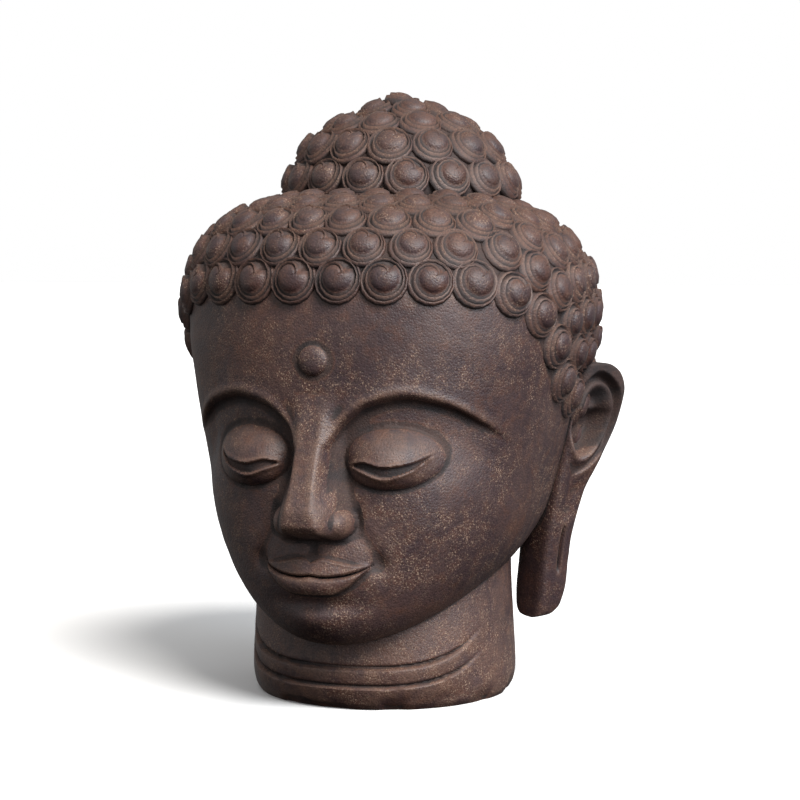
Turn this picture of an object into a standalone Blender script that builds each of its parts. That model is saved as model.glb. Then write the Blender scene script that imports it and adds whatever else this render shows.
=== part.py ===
"""A carved stone Buddha head with snail-shell curls, a domed topknot, long ear lobes and a flat-cut neck.

The head is one block of stone, so it is one solid. Its forms are worked out in fingers, the unit of
the old carving canons: a skull with the face carved on it, a neck, a topknot, two ears and the curls.
The face looks along -Y and +Z is up. The origin is the middle of the underside of the bounding box.
"""

import math

import bmesh
import bpy
import numpy as np
from mathutils import Matrix, Vector
from mathutils.bvhtree import BVHTree

# Driving size, in metres.
HEAD_HEIGHT = 0.600

# The canon, in fingers: the neck up to the chin, each third of the face, the hair and the topknot.
CHIN = 2.3
FACE_THIRD = 3.8
HAIR_RISE = 3.4
TOPKNOT_RISE = 3.9
FINGER = HEAD_HEIGHT / (CHIN + 3 * FACE_THIRD + HAIR_RISE + TOPKNOT_RISE)

# Landmarks, in fingers above the base.
NOSE_BASE = CHIN + FACE_THIRD
MOUTH = NOSE_BASE - FACE_THIRD / 3
BROW = NOSE_BASE + FACE_THIRD
EYE_LEVEL = BROW - FACE_THIRD / 3
HAIRLINE = BROW + FACE_THIRD
CROWN = HAIRLINE + HAIR_RISE

# Skull sections: height, half width, y of the front, y of the back.
SKULL = [
    (CHIN - 0.05, 0.00, -4.70, -4.70),
    (CHIN + 0.02, 0.95, -5.45, -3.60),
    (CHIN + 0.35, 2.05, -6.00, -1.80),
    (CHIN + 1.00, 3.25, -6.35, 0.60),
    (CHIN + 2.00, 4.35, -6.55, 3.20),
    (CHIN + 3.00, 5.05, -6.65, 5.00),
    (NOSE_BASE + 0.2, 5.50, -6.72, 6.10),
    (NOSE_BASE + 1.7, 5.90, -6.80, 7.00),
    (BROW - 0.6, 6.25, -6.86, 7.55),
    (BROW + 0.9, 6.55, -6.92, 7.90),
    (BROW + 2.4, 6.80, -6.92, 8.05),
    (HAIRLINE - 0.2, 6.84, -6.85, 8.05),
    (HAIRLINE + 0.9, 6.62, -6.62, 7.75),
    (HAIRLINE + 1.7, 6.20, -6.25, 7.10),
    (CROWN - 1.0, 5.50, -5.65, 6.15),
    (CROWN - 0.5, 4.55, -4.75, 5.05),
    (CROWN - 0.15, 3.00, -3.10, 3.40),
    (CROWN, 0.00, 0.20, 0.20),
]
SKULL_SQUARENESS = 2.25

# Topknot sections: height, radius. Its axis stands well behind the middle of the neck.
TOPKNOT = [
    (CROWN - 1.1, 0.00),
    (CROWN - 0.9, 3.30),
    (CROWN - 0.1, 3.86),
    (CROWN + 0.4, 3.90),
    (CROWN + 1.1, 3.62),
    (CROWN + 1.8, 3.20),
    (CROWN + 2.4, 2.46),
    (CROWN + 2.8, 1.68),
    (CROWN + 3.18, 0.80),
    (CROWN + 3.38, 0.00),
]
TOPKNOT_Y = 1.4
TOPKNOT_FOOT = 3.9

# Neck sections: height, radius. The column starts below the base, where the flat cut takes it off.
NECK = [
    (-1.2, 0.00),
    (-1.0, 2.80),
    (-0.3, 4.10),
    (0.00, 4.38),
    (0.25, 4.54),
    (0.80, 4.62),
    (2.20, 4.56),
    (4.50, 4.45),
    (NOSE_BASE + 0.9, 4.45),
    (NOSE_BASE + 1.9, 0.00),
]
NECK_Y = -0.3
# Neck folds: height at the throat and how steeply they rise to the sides.
NECK_FOLDS = [(0.85, 2.8), (1.47, 3.2)]
FOLD_DEPTH = 0.10
FOLD_ROLL = 0.15

# Ear sections: height, width from the cheek to the rim. The root is where it leaves the cheek.
EAR = [
    (CHIN - 0.02, 0.00),
    (CHIN + 0.06, 0.70),
    (CHIN + 0.4, 1.15),
    (CHIN + 1.3, 1.35),
    (CHIN + 2.7, 1.35),
    (NOSE_BASE + 0.4, 1.50),
    (NOSE_BASE + 1.9, 1.90),
    (BROW - 0.6, 2.35),
    (BROW + 0.4, 2.50),
    (BROW + 1.1, 2.10),
    (BROW + 1.45, 1.25),
    (BROW + 1.55, 0.00),
]
EAR_ROOT = [
    (CHIN - 0.02, 4.75, 1.90),
    (CHIN + 2.7, 5.10, 1.65),
    (NOSE_BASE + 1.4, 5.65, 1.50),
    (BROW - 0.4, 6.10, 1.50),
    (BROW + 1.55, 6.35, 1.70),
]
EAR_FLARE = math.radians(27)
EAR_THICKNESS = 1.15
EAR_STAND = 0.42

# The brow, the lids and the lips as curves: distance from the middle of the face, height.
EYE_X = 2.45
BROW_ARC = [
    (0.55, BROW - 0.75),
    (0.95, BROW - 0.1),
    (1.8, BROW + 0.55),
    (2.9, BROW + 0.8),
    (4.0, BROW + 0.55),
    (5.0, BROW - 0.1),
    (5.8, BROW - 1.0),
]
UPPER_LID = [
    (1.22, EYE_LEVEL - 0.22),
    (1.7, EYE_LEVEL - 0.12),
    (2.4, EYE_LEVEL - 0.26),
    (3.1, EYE_LEVEL - 0.16),
    (3.75, EYE_LEVEL + 0.14),
]
LOWER_LID = [
    (1.22, EYE_LEVEL - 0.24),
    (1.7, EYE_LEVEL - 0.40),
    (2.4, EYE_LEVEL - 0.62),
    (3.1, EYE_LEVEL - 0.42),
    (3.75, EYE_LEVEL + 0.10),
]
# The ridge of the nose: height, how far it stands out.
NOSE_RIDGE = [
    (NOSE_BASE - 0.20, 0.0),
    (NOSE_BASE - 0.08, 0.42),
    (NOSE_BASE + 0.04, 0.98),
    (NOSE_BASE + 0.22, 1.36),
    (NOSE_BASE + 0.48, 1.56),
    (NOSE_BASE + 0.80, 1.58),
    (NOSE_BASE + 1.4, 1.36),
    (NOSE_BASE + 2.3, 0.95),
    (NOSE_BASE + 3.0, 0.62),
    (NOSE_BASE + 3.7, 0.34),
    (NOSE_BASE + 4.6, 0.0),
]
LIP_HALF_WIDTH = 1.85
MOUTH_LINE = [
    (0.0, MOUTH),
    (0.45, MOUTH - 0.05),
    (1.0, MOUTH),
    (1.5, MOUTH + 0.14),
    (LIP_HALF_WIDTH, MOUTH + 0.32),
]
UPPER_LIP = [
    (0.0, MOUTH + 0.42),
    (0.38, MOUTH + 0.55),
    (0.9, MOUTH + 0.45),
    (1.4, MOUTH + 0.36),
    (LIP_HALF_WIDTH, MOUTH + 0.34),
]
LOWER_LIP = [
    (0.0, MOUTH - 0.66),
    (0.6, MOUTH - 0.64),
    (1.15, MOUTH - 0.4),
    (1.6, MOUTH + 0.02),
    (LIP_HALF_WIDTH, MOUTH + 0.30),
]
URNA_HEIGHT = BROW + 1.85
URNA_RADIUS = 0.50

# Curls: their spacing, the spacing of their rows as a share of it, their height and their fullness.
CURL_PITCH = 1.47
ROW_SPACING = 0.78
CURL_HEIGHT = 0.47
CURL_SINK = 0.30
CURL_FULLNESS = 0.82
# The edge of the hair: degrees round from the face, height.
HAIR_EDGE = [
    (0, HAIRLINE - 0.1),
    (40, HAIRLINE - 0.2),
    (52, HAIRLINE - 0.6),
    (60, HAIRLINE - 1.2),
    (67, HAIRLINE - 2.1),
    (74, HAIRLINE - 3.2),
    (82, HAIRLINE - 3.8),
    (92, HAIRLINE - 4.1),
    (102, HAIRLINE - 4.5),
    (116, HAIRLINE - 7.0),
    (135, HAIRLINE - 8.1),
    (180, HAIRLINE - 8.4),
]

# A gap between curls that is this share of their spacing from all of them gets another curl.
WIDEST_GAP = 0.80
MOST_ADDED = 25
SETTLING = 12

# The grain of the joined skin, the faces left on the curls and in the whole solid, and the least size
# of a section.
SKIN_GRAIN = 0.05
CURLED_FACES = 6400
FINISHED_FACES = 9800
SMALL = 1e-4

# The ears lie farther out than these, to the side and from the upright line, and between these depths
# and heights. They are thinned with the face, so that they keep their carving.
EAR_SIDE, EAR_REACH = 4.6, 5.3
EAR_DEPTHS = (0.9, 4.6)
EAR_HEIGHTS = (CHIN - 0.2, BROW + 1.7)

STONE_COLOUR = (0.115, 0.078, 0.062, 1.0)
STONE_ROUGHNESS = 0.72


def step(value, low, high):
    """0 below low, 1 above high, and a smooth S between."""
    share = np.clip((value - low) / (high - low), 0, 1)
    return share * share * (3 - 2 * share)


def bell(value, width):
    """A smooth hump that is 1 at 0 and has faded out at about twice its width."""
    return np.exp(-((value / width) ** 2))


def line(distance, width):
    """A crisp ridge along a curve, width to each side of it."""
    return np.clip(1 - np.abs(distance) / width, 0, 1) ** 1.5


def larger(a, b, blend):
    """The larger of two heights, with a soft join."""
    share = np.clip(0.5 + 0.5 * (a - b) / blend, 0, 1)
    return b + (a - b) * share + blend * share * (1 - share)


def through(points, x, column=1):
    """A smooth curve through points sorted by their first number, read at x. It never overshoots."""
    table = np.asarray(points, float)
    xs, ys = table[:, 0], table[:, column]
    gap = np.diff(xs)
    slope = np.diff(ys) / gap
    before, after = slope[:-1], slope[1:]
    inner = np.where(before * after > 0, 2 * before * after / (before + after + 1e-12), 0)
    tangent = np.concatenate([slope[:1], inner, slope[-1:]])
    x = np.clip(x, xs[0], xs[-1])
    k = np.clip(np.searchsorted(xs, x, side="right") - 1, 0, len(gap) - 1)
    t = (x - xs[k]) / gap[k]
    return (
        ys[k] * (1 + 2 * t) * (1 - t) ** 2
        + tangent[k] * gap[k] * t * (1 - t) ** 2
        + ys[k + 1] * t * t * (3 - 2 * t)
        + tangent[k + 1] * gap[k] * t * t * (t - 1)
    )


def section_at(sections, share):
    """The sections read at shares of the way along their profile, as one array for each column."""
    table = np.asarray(sections, float)
    lengths = np.linalg.norm(np.diff(table, axis=0), axis=1)
    keyed = np.column_stack([np.concatenate([[0], np.cumsum(lengths)]), table])
    travelled = share * keyed[-1, 0]
    return [through(keyed, travelled, column) for column in range(1, keyed.shape[1])]


def brow_and_eye(x, z):
    """The sharp brow with the hollow below it, the ball of the eye and its lids."""
    inside = step(x, 0.35, 0.75) * (1 - step(x, 4.4, 5.8))
    below = through(BROW_ARC, x) - z
    hollow = 0.42 * step(below, 0.0, 0.34) * (1 - step(below, 1.0, 3.0)) * inside
    edge = 0.05 * bell(below + 0.08, 0.16) * inside
    ball_x, ball_z = (x - EYE_X) / 1.55, (z - EYE_LEVEL + 0.02) / 1.02
    ball = 0.62 * np.clip(1 - ball_x**2 - ball_z**2, 0, 1) ** 0.8
    on_eye = step(x, 1.15, 1.35) * (1 - step(x, 3.6, 3.85))
    upper, lower = through(UPPER_LID, x), through(LOWER_LID, x)
    gap = step(upper - z, 0.0, 0.05) * step(z - lower, 0.0, 0.05)
    lids = 0.06 * line(z - upper - 0.05, 0.13) + 0.06 * line(z - lower + 0.05, 0.13)
    return edge - hollow + ball + on_eye * (lids - 0.1 * gap)


def nose(x, z):
    """The straight bridge, the tip and the two wings, with the underside cut back."""
    height = through(NOSE_RIDGE, z)
    top = 0.52 - 0.20 * step(z, NOSE_BASE + 0.6, NOSE_BASE + 2.2)
    foot = 1.34 - 0.34 * step(z, NOSE_BASE + 0.5, NOSE_BASE + 3.0)
    bridge = height * (1 - step(x, top, foot))
    wing_x, wing_z = (x - 0.84) / 0.58, (z - NOSE_BASE - 0.46) / 0.56
    wing = 0.95 * np.sqrt(np.clip(1 - wing_x**2 - wing_z**2, 0, 1))
    crease = 0.10 * bell(x - 1.42, 0.14) * bell(z - NOSE_BASE - 0.55, 0.45)
    nostril = 0.30 * bell(x - 0.50, 0.20) * bell(z - NOSE_BASE, 0.14)
    return larger(bridge, wing, 0.28) - 0.07 - crease - nostril


def mouth(x, z):
    """The full lips with their crisp edge, the groove above them and the smile at the corners."""
    seam, top, bottom = through(MOUTH_LINE, x), through(UPPER_LIP, x), through(LOWER_LIP, x)
    taper = np.clip(1 - (x / (LIP_HALF_WIDTH + 0.03)) ** 2, 0, 1) ** 0.45
    upper = np.clip((z - seam) / (top - seam + 0.02), 0, 1)
    lower = np.clip((seam - z) / (seam - bottom + 0.02), 0, 1)
    on_upper = step(top - z, -0.04, 0.05) * step(z - seam, -0.01, 0.04)
    on_lower = step(z - bottom, -0.04, 0.05) * step(seam - z, -0.01, 0.04)
    lips = on_upper * (0.30 - 0.14 * upper) + on_lower * (0.20 + 0.40 * np.sqrt(lower * (1 - lower)))
    rim = 0.04 * (line(z - top, 0.12) + line(z - bottom, 0.12))
    slit = 0.12 * line(z - seam, 0.12) * step(taper, 0, 0.3)
    muzzle = 0.42 * bell(x, 1.9) * bell(z - MOUTH - 0.1, 1.15)
    between = step(z, MOUTH + 0.5, MOUTH + 0.75) * (1 - step(z, NOSE_BASE, NOSE_BASE + 0.2))
    corner = 0.17 * bell(x - LIP_HALF_WIDTH - 0.15, 0.3) * bell(z - MOUTH - 0.35, 0.35)
    return taper * (lips + rim) - slit + muzzle - 0.10 * bell(x, 0.24) * between - corner


def face_relief(x, z):
    """How far the carved face stands in front of the plain skull, in fingers."""
    x = np.abs(x)
    chin = 0.42 * bell(x, 1.3) * bell(z - CHIN - 0.95, 0.8)
    under_lip = 0.20 * bell(x, 1.2) * bell(z - MOUTH + 1.0, 0.3)
    cheek = 0.22 * bell(x - 3.5, 1.6) * bell(z - NOSE_BASE - 0.6, 1.7)
    laugh = 0.08 * bell(x - 1.5 - 0.45 * (NOSE_BASE + 0.4 - z), 0.3) * bell(z - NOSE_BASE + 0.3, 0.7)
    from_urna = np.hypot(x, z - URNA_HEIGHT) / URNA_RADIUS
    urna = 0.20 * np.sqrt(np.clip(1 - from_urna**2, 0, 1))
    return brow_and_eye(x, z) + nose(x, z) + mouth(x, z) + chin - under_lip + cheek - laugh + urna


def moulded(name, segments, rings, shape):
    """A sphere whose points are moved by shape, from the share of the way up and the turn from the face."""
    form = bmesh.new()
    bmesh.ops.create_uvsphere(form, u_segments=segments, v_segments=rings, radius=1)
    points = np.array([vertex.co for vertex in form.verts])
    share = 1 - np.arccos(np.clip(points[:, 2], -1, 1)) / np.pi
    turn = np.arctan2(points[:, 0], -points[:, 1])
    moved = np.column_stack(shape(share, turn)) * FINGER
    for vertex, place in zip(form.verts, moved):
        vertex.co = place
    bmesh.ops.recalc_face_normals(form, faces=form.faces)
    return mesh_of(form, name)


def mesh_of(form, name):
    """The bmesh as a mesh with its own name."""
    mesh = bpy.data.meshes.new(name)
    form.to_mesh(mesh)
    form.free()
    return mesh


def oval(turn, width, front, back):
    """A point of the squarish oval of one skull section. Turn 0 is the face and the half turn is the nape."""
    width = np.maximum(width, SMALL)
    depth = np.maximum((back - front) / 2, SMALL)
    power = SKULL_SQUARENESS
    reach = (np.abs(np.sin(turn) / width) ** power + np.abs(np.cos(turn) / depth) ** power) ** (-1 / power)
    return reach * np.sin(turn), (front + back) / 2 - reach * np.cos(turn)


def skull_shape(share, turn):
    """The skull with the face carved on its front. Points are closer together on the face."""
    turn = turn - 0.34 * np.sin(turn)
    height, width, front, back = section_at(SKULL, share)
    x, y = oval(turn, width, front, back)
    on_face = step(np.cos(turn), 0.12, 0.38)
    return x, y - face_relief(x, height) * on_face, height


def neck_shape(share, turn):
    """The column of the neck with its rolled folds, which rise from the throat to the sides."""
    height, radius = section_at(NECK, share)
    fading = 1 - step(np.abs(turn), math.radians(38), math.radians(70))
    relief = 0
    for level, steepness in NECK_FOLDS:
        below = level + steepness * (1 - np.cos(turn)) ** 2 - height
        roll = step(below, 0, 0.12) * (1 - step(below, 0.1, 0.95))
        relief = relief + FOLD_ROLL * roll - FOLD_DEPTH * line(below, 0.09)
    radius = radius + relief * fading * step(radius, 3.5, 4.2)
    return radius * np.sin(turn), NECK_Y - radius * np.cos(turn), height


def topknot_shape(share, turn):
    """The domed topknot under its curls."""
    height, radius = section_at(TOPKNOT, share)
    return radius * np.sin(turn), TOPKNOT_Y - radius * np.cos(turn), height


def ear_relief(across, height):
    """How far the front of the ear stands out: the rim, the fold and hollow with a shelf, the long lobe."""
    ring = np.hypot((across - 0.40) / 0.60, (height - BROW + 0.65) / 2.1)
    off_root = step(across + step(height, BROW - 0.4, BROW + 0.6), 0.3, 0.6)
    upper = step(height, NOSE_BASE + 0.7, NOSE_BASE + 1.9) * off_root
    rim = 0.16 * step(ring, 0.80, 0.90) * upper
    groove = 0.20 * bell(ring - 0.76, 0.06) * upper * step(height + 2 * across, BROW, BROW + 0.9)
    hollow = 0.80 * (1 - step(ring, 0.34, 0.66))
    shelf_rise = (height - BROW + 0.12) / np.where(height > BROW - 0.12, 0.42, 0.20)
    shelf = 0.52 * bell(np.hypot((across - 0.36) / 0.34, shelf_rise), 1)
    slope = 0.40 * step(BROW - 0.6 - height, 0.1, 1.3) * (1 - step(ring, 0.4, 0.8))
    trough = 0.12 * bell(across - 0.5, 0.28) * (1 - upper) * step(height, CHIN + 3.2, CHIN + 4.0)
    slot_height = step(height, CHIN + 1.5, CHIN + 1.9) * (1 - step(height, CHIN + 2.9, CHIN + 3.4))
    slot = 0.22 * bell(across - 0.54, 0.05) * slot_height
    return rim - groove - hollow + shelf * (1 - step(ring, 0.5, 0.75)) + slope - trough - slot


def ear_shape(side):
    """One ear as a slab: carved on its front, plain behind and sunk in the head. Side is 1 or -1."""

    def shape(share, turn):
        height, width = section_at(EAR, share)
        across = (1 - np.cos(turn)) / 2
        edge = np.clip(1 - np.abs(2 * across - 1) ** 7, 0, 1) ** 0.42
        end_round = np.clip(width / 1.4, 0, 1) ** 0.7
        front = EAR_STAND + ear_relief(across, height)
        out = np.where(turn > 0, front, -EAR_THICKNESS) * edge * end_round
        root_x, root_y = through(EAR_ROOT, height, 1), through(EAR_ROOT, height, 2)
        x = root_x + across * width * math.sin(EAR_FLARE) + out * math.cos(EAR_FLARE)
        y = root_y + across * width * math.cos(EAR_FLARE) - out * math.sin(EAR_FLARE)
        return side * x, y, height

    return shape


def hair_edge(angle):
    """Height of the edge of the hair at an angle from the face, in radians."""
    return through(HAIR_EDGE, np.degrees(np.abs(angle)))


def skull_points(heights, angles):
    """Points of the plain skull at heights and at angles from the face."""
    x, y = oval(angles, *(through(SKULL, heights, column) for column in (1, 2, 3)))
    return np.column_stack([x, y, np.broadcast_to(heights, x.shape)])


def run_along(points):
    """Distance travelled along a row of points, at each of them."""
    return np.concatenate([[0], np.cumsum(np.linalg.norm(np.diff(points, axis=0), axis=1))])


def rows_of_curls():
    """Number and height of each row of curls on the skull, evenly apart. Row 0 is on the hairline."""
    heights, _, front, back = section_at(SKULL, np.linspace(0, 1, 600))
    hair = heights > HAIR_EDGE[-1][1]
    heights, half_depth = heights[hair], (back - front)[hair] / 2
    run = run_along(np.column_stack([heights, half_depth]))
    first = np.interp(HAIR_EDGE[0][1] + CURL_PITCH / 2, heights, run)
    spacing = CURL_PITCH * ROW_SPACING
    rows = np.arange(-math.floor(first / spacing), math.floor((run[-1] - first) / spacing) + 1)
    return zip(rows, np.interp(first + rows * spacing, run, heights))


def ring_of_curls(height, stagger):
    """Even places round the skull at one height, counted from the middle of the forehead."""
    fine = np.linspace(-np.pi, np.pi, 721)
    run = run_along(skull_points(height, fine))
    count = round(run[-1] / CURL_PITCH)
    middle = run[len(run) // 2]
    wanted = np.mod(middle + (np.arange(count) + 0.5 * stagger) * run[-1] / count, run[-1])
    angles = np.interp(wanted, run, fine)
    return angles, skull_points(height, angles)


def edge_of_curls():
    """Even places just inside the edge of the hair, all the way round."""
    fine = np.linspace(0, np.pi, 361)
    skull_reach = 6.8
    slope = np.gradient(hair_edge(fine), fine) / skull_reach
    lift = CURL_PITCH / 2 / np.sqrt(1 + slope**2)
    heights, angles = hair_edge(fine) + lift, fine - slope * lift / skull_reach
    run = run_along(skull_points(heights, angles))
    count = round(run[-1] / CURL_PITCH)
    wanted = (np.arange(count) + 0.5) * run[-1] / count
    heights, angles = np.interp(wanted, run, heights), np.interp(wanted, run, angles)
    return np.vstack([skull_points(heights, side * angles) for side in (1, -1)])


def topknot_curls():
    """Rings of curls up the topknot, staggered, with one on its top."""
    heights, radii = section_at(TOPKNOT, np.linspace(0, 1, 400))
    shown = heights > CROWN + 0.65
    heights, radii = heights[shown], radii[shown]
    run = run_along(np.column_stack([heights, radii]))
    rings = round(run[-1] / (CURL_PITCH * ROW_SPACING))
    places = [(0.0, TOPKNOT_Y, TOPKNOT[-1][0])]
    for ring in range(rings):
        travelled = ring * run[-1] / rings
        height, radius = np.interp(travelled, run, heights), np.interp(travelled, run, radii)
        count = round(2 * math.pi * radius / CURL_PITCH)
        for k in range(count):
            turn = (k + 0.5 * (ring % 2)) * 2 * math.pi / count
            places.append((radius * math.sin(turn), TOPKNOT_Y - radius * math.cos(turn), height))
    return np.array(places)


def loose_curls(edge):
    """Staggered rings of places inside the edge of the hair and clear of the topknot's foot."""
    loose = []
    for row, height in rows_of_curls():
        angles, points = ring_of_curls(height, (row + 1) % 2)
        for angle, point in zip(angles, points):
            room = np.linalg.norm(edge - point, axis=1).min()
            inside_edge = height > hair_edge(angle) + CURL_PITCH / 2 and room > CURL_PITCH * 0.66
            from_knot = math.hypot(point[0], point[1] - TOPKNOT_Y) - TOPKNOT_FOOT
            if inside_edge and from_knot > CURL_PITCH * 0.35:
                loose.append(point)
    return np.array(loose)


def kept_on(surface, places):
    """The nearest points of the surface to the places."""
    return np.array([surface.find_nearest(Vector(place * FINGER))[0] for place in places]) / FINGER


def spread(loose, fixed, surface):
    """The loose places pushed apart from each other and from the fixed ones, and kept on the surface."""
    reach = CURL_PITCH * 0.93
    for _ in range(40):
        delta = loose[:, None] - np.vstack([loose, fixed])[None]
        distance = np.linalg.norm(delta, axis=2)
        near = (distance > SMALL) & (distance < reach)
        push = np.where(near, (reach - distance) / np.maximum(distance, SMALL), 0)
        loose = loose + 0.25 * (push[:, :, None] * delta).sum(1)
        loose = kept_on(surface, loose)
    return loose


def scalp_grid():
    """Close-set points over all the hair of the skull, and the share of the scalp that each stands for."""
    heights, widths, front, back = section_at(SKULL, np.linspace(0, 1, 260))
    rows = (heights > HAIR_EDGE[-1][1]) & (heights < CROWN - SMALL)
    turns = np.linspace(-np.pi, np.pi, 100, endpoint=False)
    row, turn = [axis.ravel() for axis in np.meshgrid(np.nonzero(rows)[0], turns, indexing="ij")]
    x, y = oval(turn, widths[row], front[row], back[row])
    inside = heights[row] > hair_edge(turn)
    clear = np.hypot(x, y - TOPKNOT_Y) > TOPKNOT_FOOT
    shown = inside & clear
    return np.column_stack([x, y, heights[row]])[shown], (widths + back - front)[row][shown]


def squared_gaps(points, places):
    """The square of the distance from every point to every place."""
    return (points**2).sum(1)[:, None] - 2 * points @ places.T + (places**2).sum(1)


def settled(loose, fixed, grid, shares, surface):
    """Each loose place moved over and over to the middle of the scalp that is nearest to it."""
    for _ in range(SETTLING):
        places = np.vstack([loose, fixed])
        owner = squared_gaps(grid, places).argmin(1)
        held = np.bincount(owner, shares, len(places))[: len(loose), None]
        sums = [np.bincount(owner, shares * grid[:, axis], len(places))[: len(loose)] for axis in range(3)]
        middles = np.where(held > 0, np.column_stack(sums) / np.maximum(held, SMALL), loose)
        loose = kept_on(surface, middles)
    return loose


def without_gaps(loose, fixed, surface):
    """The loose places settled, with one more in every gap that is too wide."""
    grid, shares = scalp_grid()
    loose = settled(loose, fixed, grid, shares, surface)
    for _ in range(MOST_ADDED):
        room = squared_gaps(grid, np.vstack([loose, fixed])).min(1)
        if room.max() < (WIDEST_GAP * CURL_PITCH) ** 2:
            break
        loose = settled(np.vstack([loose, grid[room.argmax()]]), fixed, grid, shares, surface)
    return loose


def curl_places(skull, topknot):
    """Centre, outward normal and radius of every curl, in fingers."""
    edge, on_knot = edge_of_curls(), topknot_curls()
    fixed = np.vstack([edge, on_knot])
    loose = without_gaps(spread(loose_curls(edge), fixed, skull), fixed, skull)
    places = np.vstack([edge, loose, on_knot])
    gaps = np.linalg.norm(places[:, None] - places[None], axis=2)
    near_gaps = np.sort(gaps, axis=1)[:, 1:4].mean(1)
    radii = np.clip(near_gaps * 0.57, CURL_PITCH * 0.46, CURL_PITCH * 0.58)
    surfaces = [skull] * (len(edge) + len(loose)) + [topknot] * len(on_knot)
    normals = [surface.find_nearest(Vector(place * FINGER))[1] for surface, place in zip(surfaces, places)]
    return [(Vector(place), normal, float(radius)) for place, normal, radius in zip(places, normals, radii)]


def curl_dome():
    """One curl of unit radius as a low, full dome, with its foot below the scalp."""
    form = bmesh.new()
    bmesh.ops.create_uvsphere(form, u_segments=10, v_segments=8, radius=1)
    for vertex in form.verts:
        x, y, z = vertex.co
        out = math.hypot(x, y)
        full = out ** (CURL_FULLNESS - 1) if out > SMALL else 0
        rise = CURL_HEIGHT * z**CURL_FULLNESS if z > 0 else CURL_SINK * z
        vertex.co = Vector((x * full, y * full, rise)) * FINGER
    return form


def curls_mesh(skull, topknot):
    """Every curl on its place, standing square to the scalp."""
    form = bmesh.new()
    for centre, normal, radius in curl_places(skull, topknot):
        facing = normal.to_track_quat("Z", "Y").to_matrix().to_4x4()
        width = Matrix.Diagonal((radius, radius, 1, 1))
        dome = curl_dome()
        dome.transform(Matrix.Translation(centre * FINGER) @ facing @ width)
        passing = mesh_of(dome, "passing")
        form.from_mesh(passing)
        bpy.data.meshes.remove(passing)
    return mesh_of(form, "curls")


def surface_of(mesh):
    """The mesh as a tree that finds the nearest point of its surface."""
    return BVHTree.FromPolygons([v.co for v in mesh.vertices], [p.vertices[:] for p in mesh.polygons])


def grown_together(name, meshes):
    """The closed skins of all the meshes as one, with what lies inside another skin taken away."""
    form = bmesh.new()
    for mesh in meshes:
        form.from_mesh(mesh)
    item = bpy.data.objects.new(name, mesh_of(form, "joined"))
    bpy.context.scene.collection.objects.link(item)
    skin = item.modifiers.new("one_skin", "REMESH")
    skin.mode = "VOXEL"
    skin.voxel_size = SKIN_GRAIN * FINGER
    finished = item.evaluated_get(bpy.context.evaluated_depsgraph_get())
    mesh = bpy.data.meshes.new_from_object(finished)
    mesh.name = name
    bpy.data.objects.remove(item)
    return mesh


def centred(mesh):
    """The mesh with the middle of its bounding box over the origin."""
    points = np.array([vertex.co for vertex in mesh.vertices])
    middle = (points.min(0) + points.max(0)) / 2
    mesh.transform(Matrix.Translation((-middle[0], -middle[1], 0)))
    return mesh


def slab_below():
    """The block that cuts the neck off flat at the base."""
    form = bmesh.new()
    side = 4 * max(radius for _, radius in NECK) * FINGER
    bmesh.ops.create_cube(form, size=side, matrix=Matrix.Translation((0, 0, -side / 2)))
    return mesh_of(form, "floor")


def stone():
    """The dark brown stone."""
    material = bpy.data.materials.new("brown_stone")
    material.use_nodes = True
    shader = material.node_tree.nodes["Principled BSDF"]
    shader.inputs["Base Color"].default_value = STONE_COLOUR
    shader.inputs["Roughness"].default_value = STONE_ROUGHNESS
    shader.inputs["Metallic"].default_value = 0.0
    return material


def is_curled(points):
    """True for each point, in fingers, that lies on the hair and off the ears."""
    across, deep, height = points.T
    off_ear = (np.abs(across) < EAR_SIDE) | (np.hypot(across, deep) < EAR_REACH)
    off_ear |= (deep < EAR_DEPTHS[0]) | (deep > EAR_DEPTHS[1])
    off_ear |= (height < EAR_HEIGHTS[0]) | (height > EAR_HEIGHTS[1])
    return off_ear & (height > hair_edge(np.arctan2(across, -deep)))


def thinned(head):
    """Takes faces from the curls, then from the face, ears and neck, until few enough are left."""
    curled = is_curled(np.array([vertex.co for vertex in head.data.vertices]) / FINGER)
    all_faces = 2 * len(head.data.polygons)
    after_curls = np.mean(~curled) * all_faces + CURLED_FACES
    steps = (("curled", curled, after_curls / all_faces), ("bare", ~curled, FINISHED_FACES / after_curls))
    for name, chosen, share in steps:
        group = head.vertex_groups.new(name=name)
        group.add(np.nonzero(chosen)[0].tolist(), 1.0, "REPLACE")
        fewer = head.modifiers.new("fewer_faces_" + name, "DECIMATE")
        fewer.ratio = share
        fewer.use_collapse_triangulate = True
        fewer.vertex_group = name
        fewer.vertex_group_factor = SMALL


def main():
    for item in list(bpy.data.objects):
        bpy.data.objects.remove(item)
    parts = bpy.data.collections.new("buddha_head")
    cutters = bpy.data.collections.new("cutters")
    bpy.context.scene.collection.children.link(parts)
    bpy.context.scene.collection.children.link(cutters)

    skull = moulded("skull", 260, 260, skull_shape)
    topknot = moulded("topknot", 72, 40, topknot_shape)
    neck = moulded("neck", 160, 170, neck_shape)
    ears = [moulded("ear", 72, 90, ear_shape(side)) for side in (1, -1)]
    curls = curls_mesh(surface_of(skull), surface_of(topknot))
    carved = centred(grown_together("buddha_head", [skull, topknot, neck, *ears, curls]))
    carved.materials.append(stone())
    head = bpy.data.objects.new("buddha_head", carved)
    parts.objects.link(head)

    floor = bpy.data.objects.new("floor", slab_below())
    cutters.objects.link(floor)
    floor.hide_render = True
    floor.display_type = "WIRE"

    thinned(head)
    flat_cut = head.modifiers.new("flat_cut", "BOOLEAN")
    flat_cut.operation = "DIFFERENCE"
    flat_cut.object = floor


if __name__ == "__main__":
    main()
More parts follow.
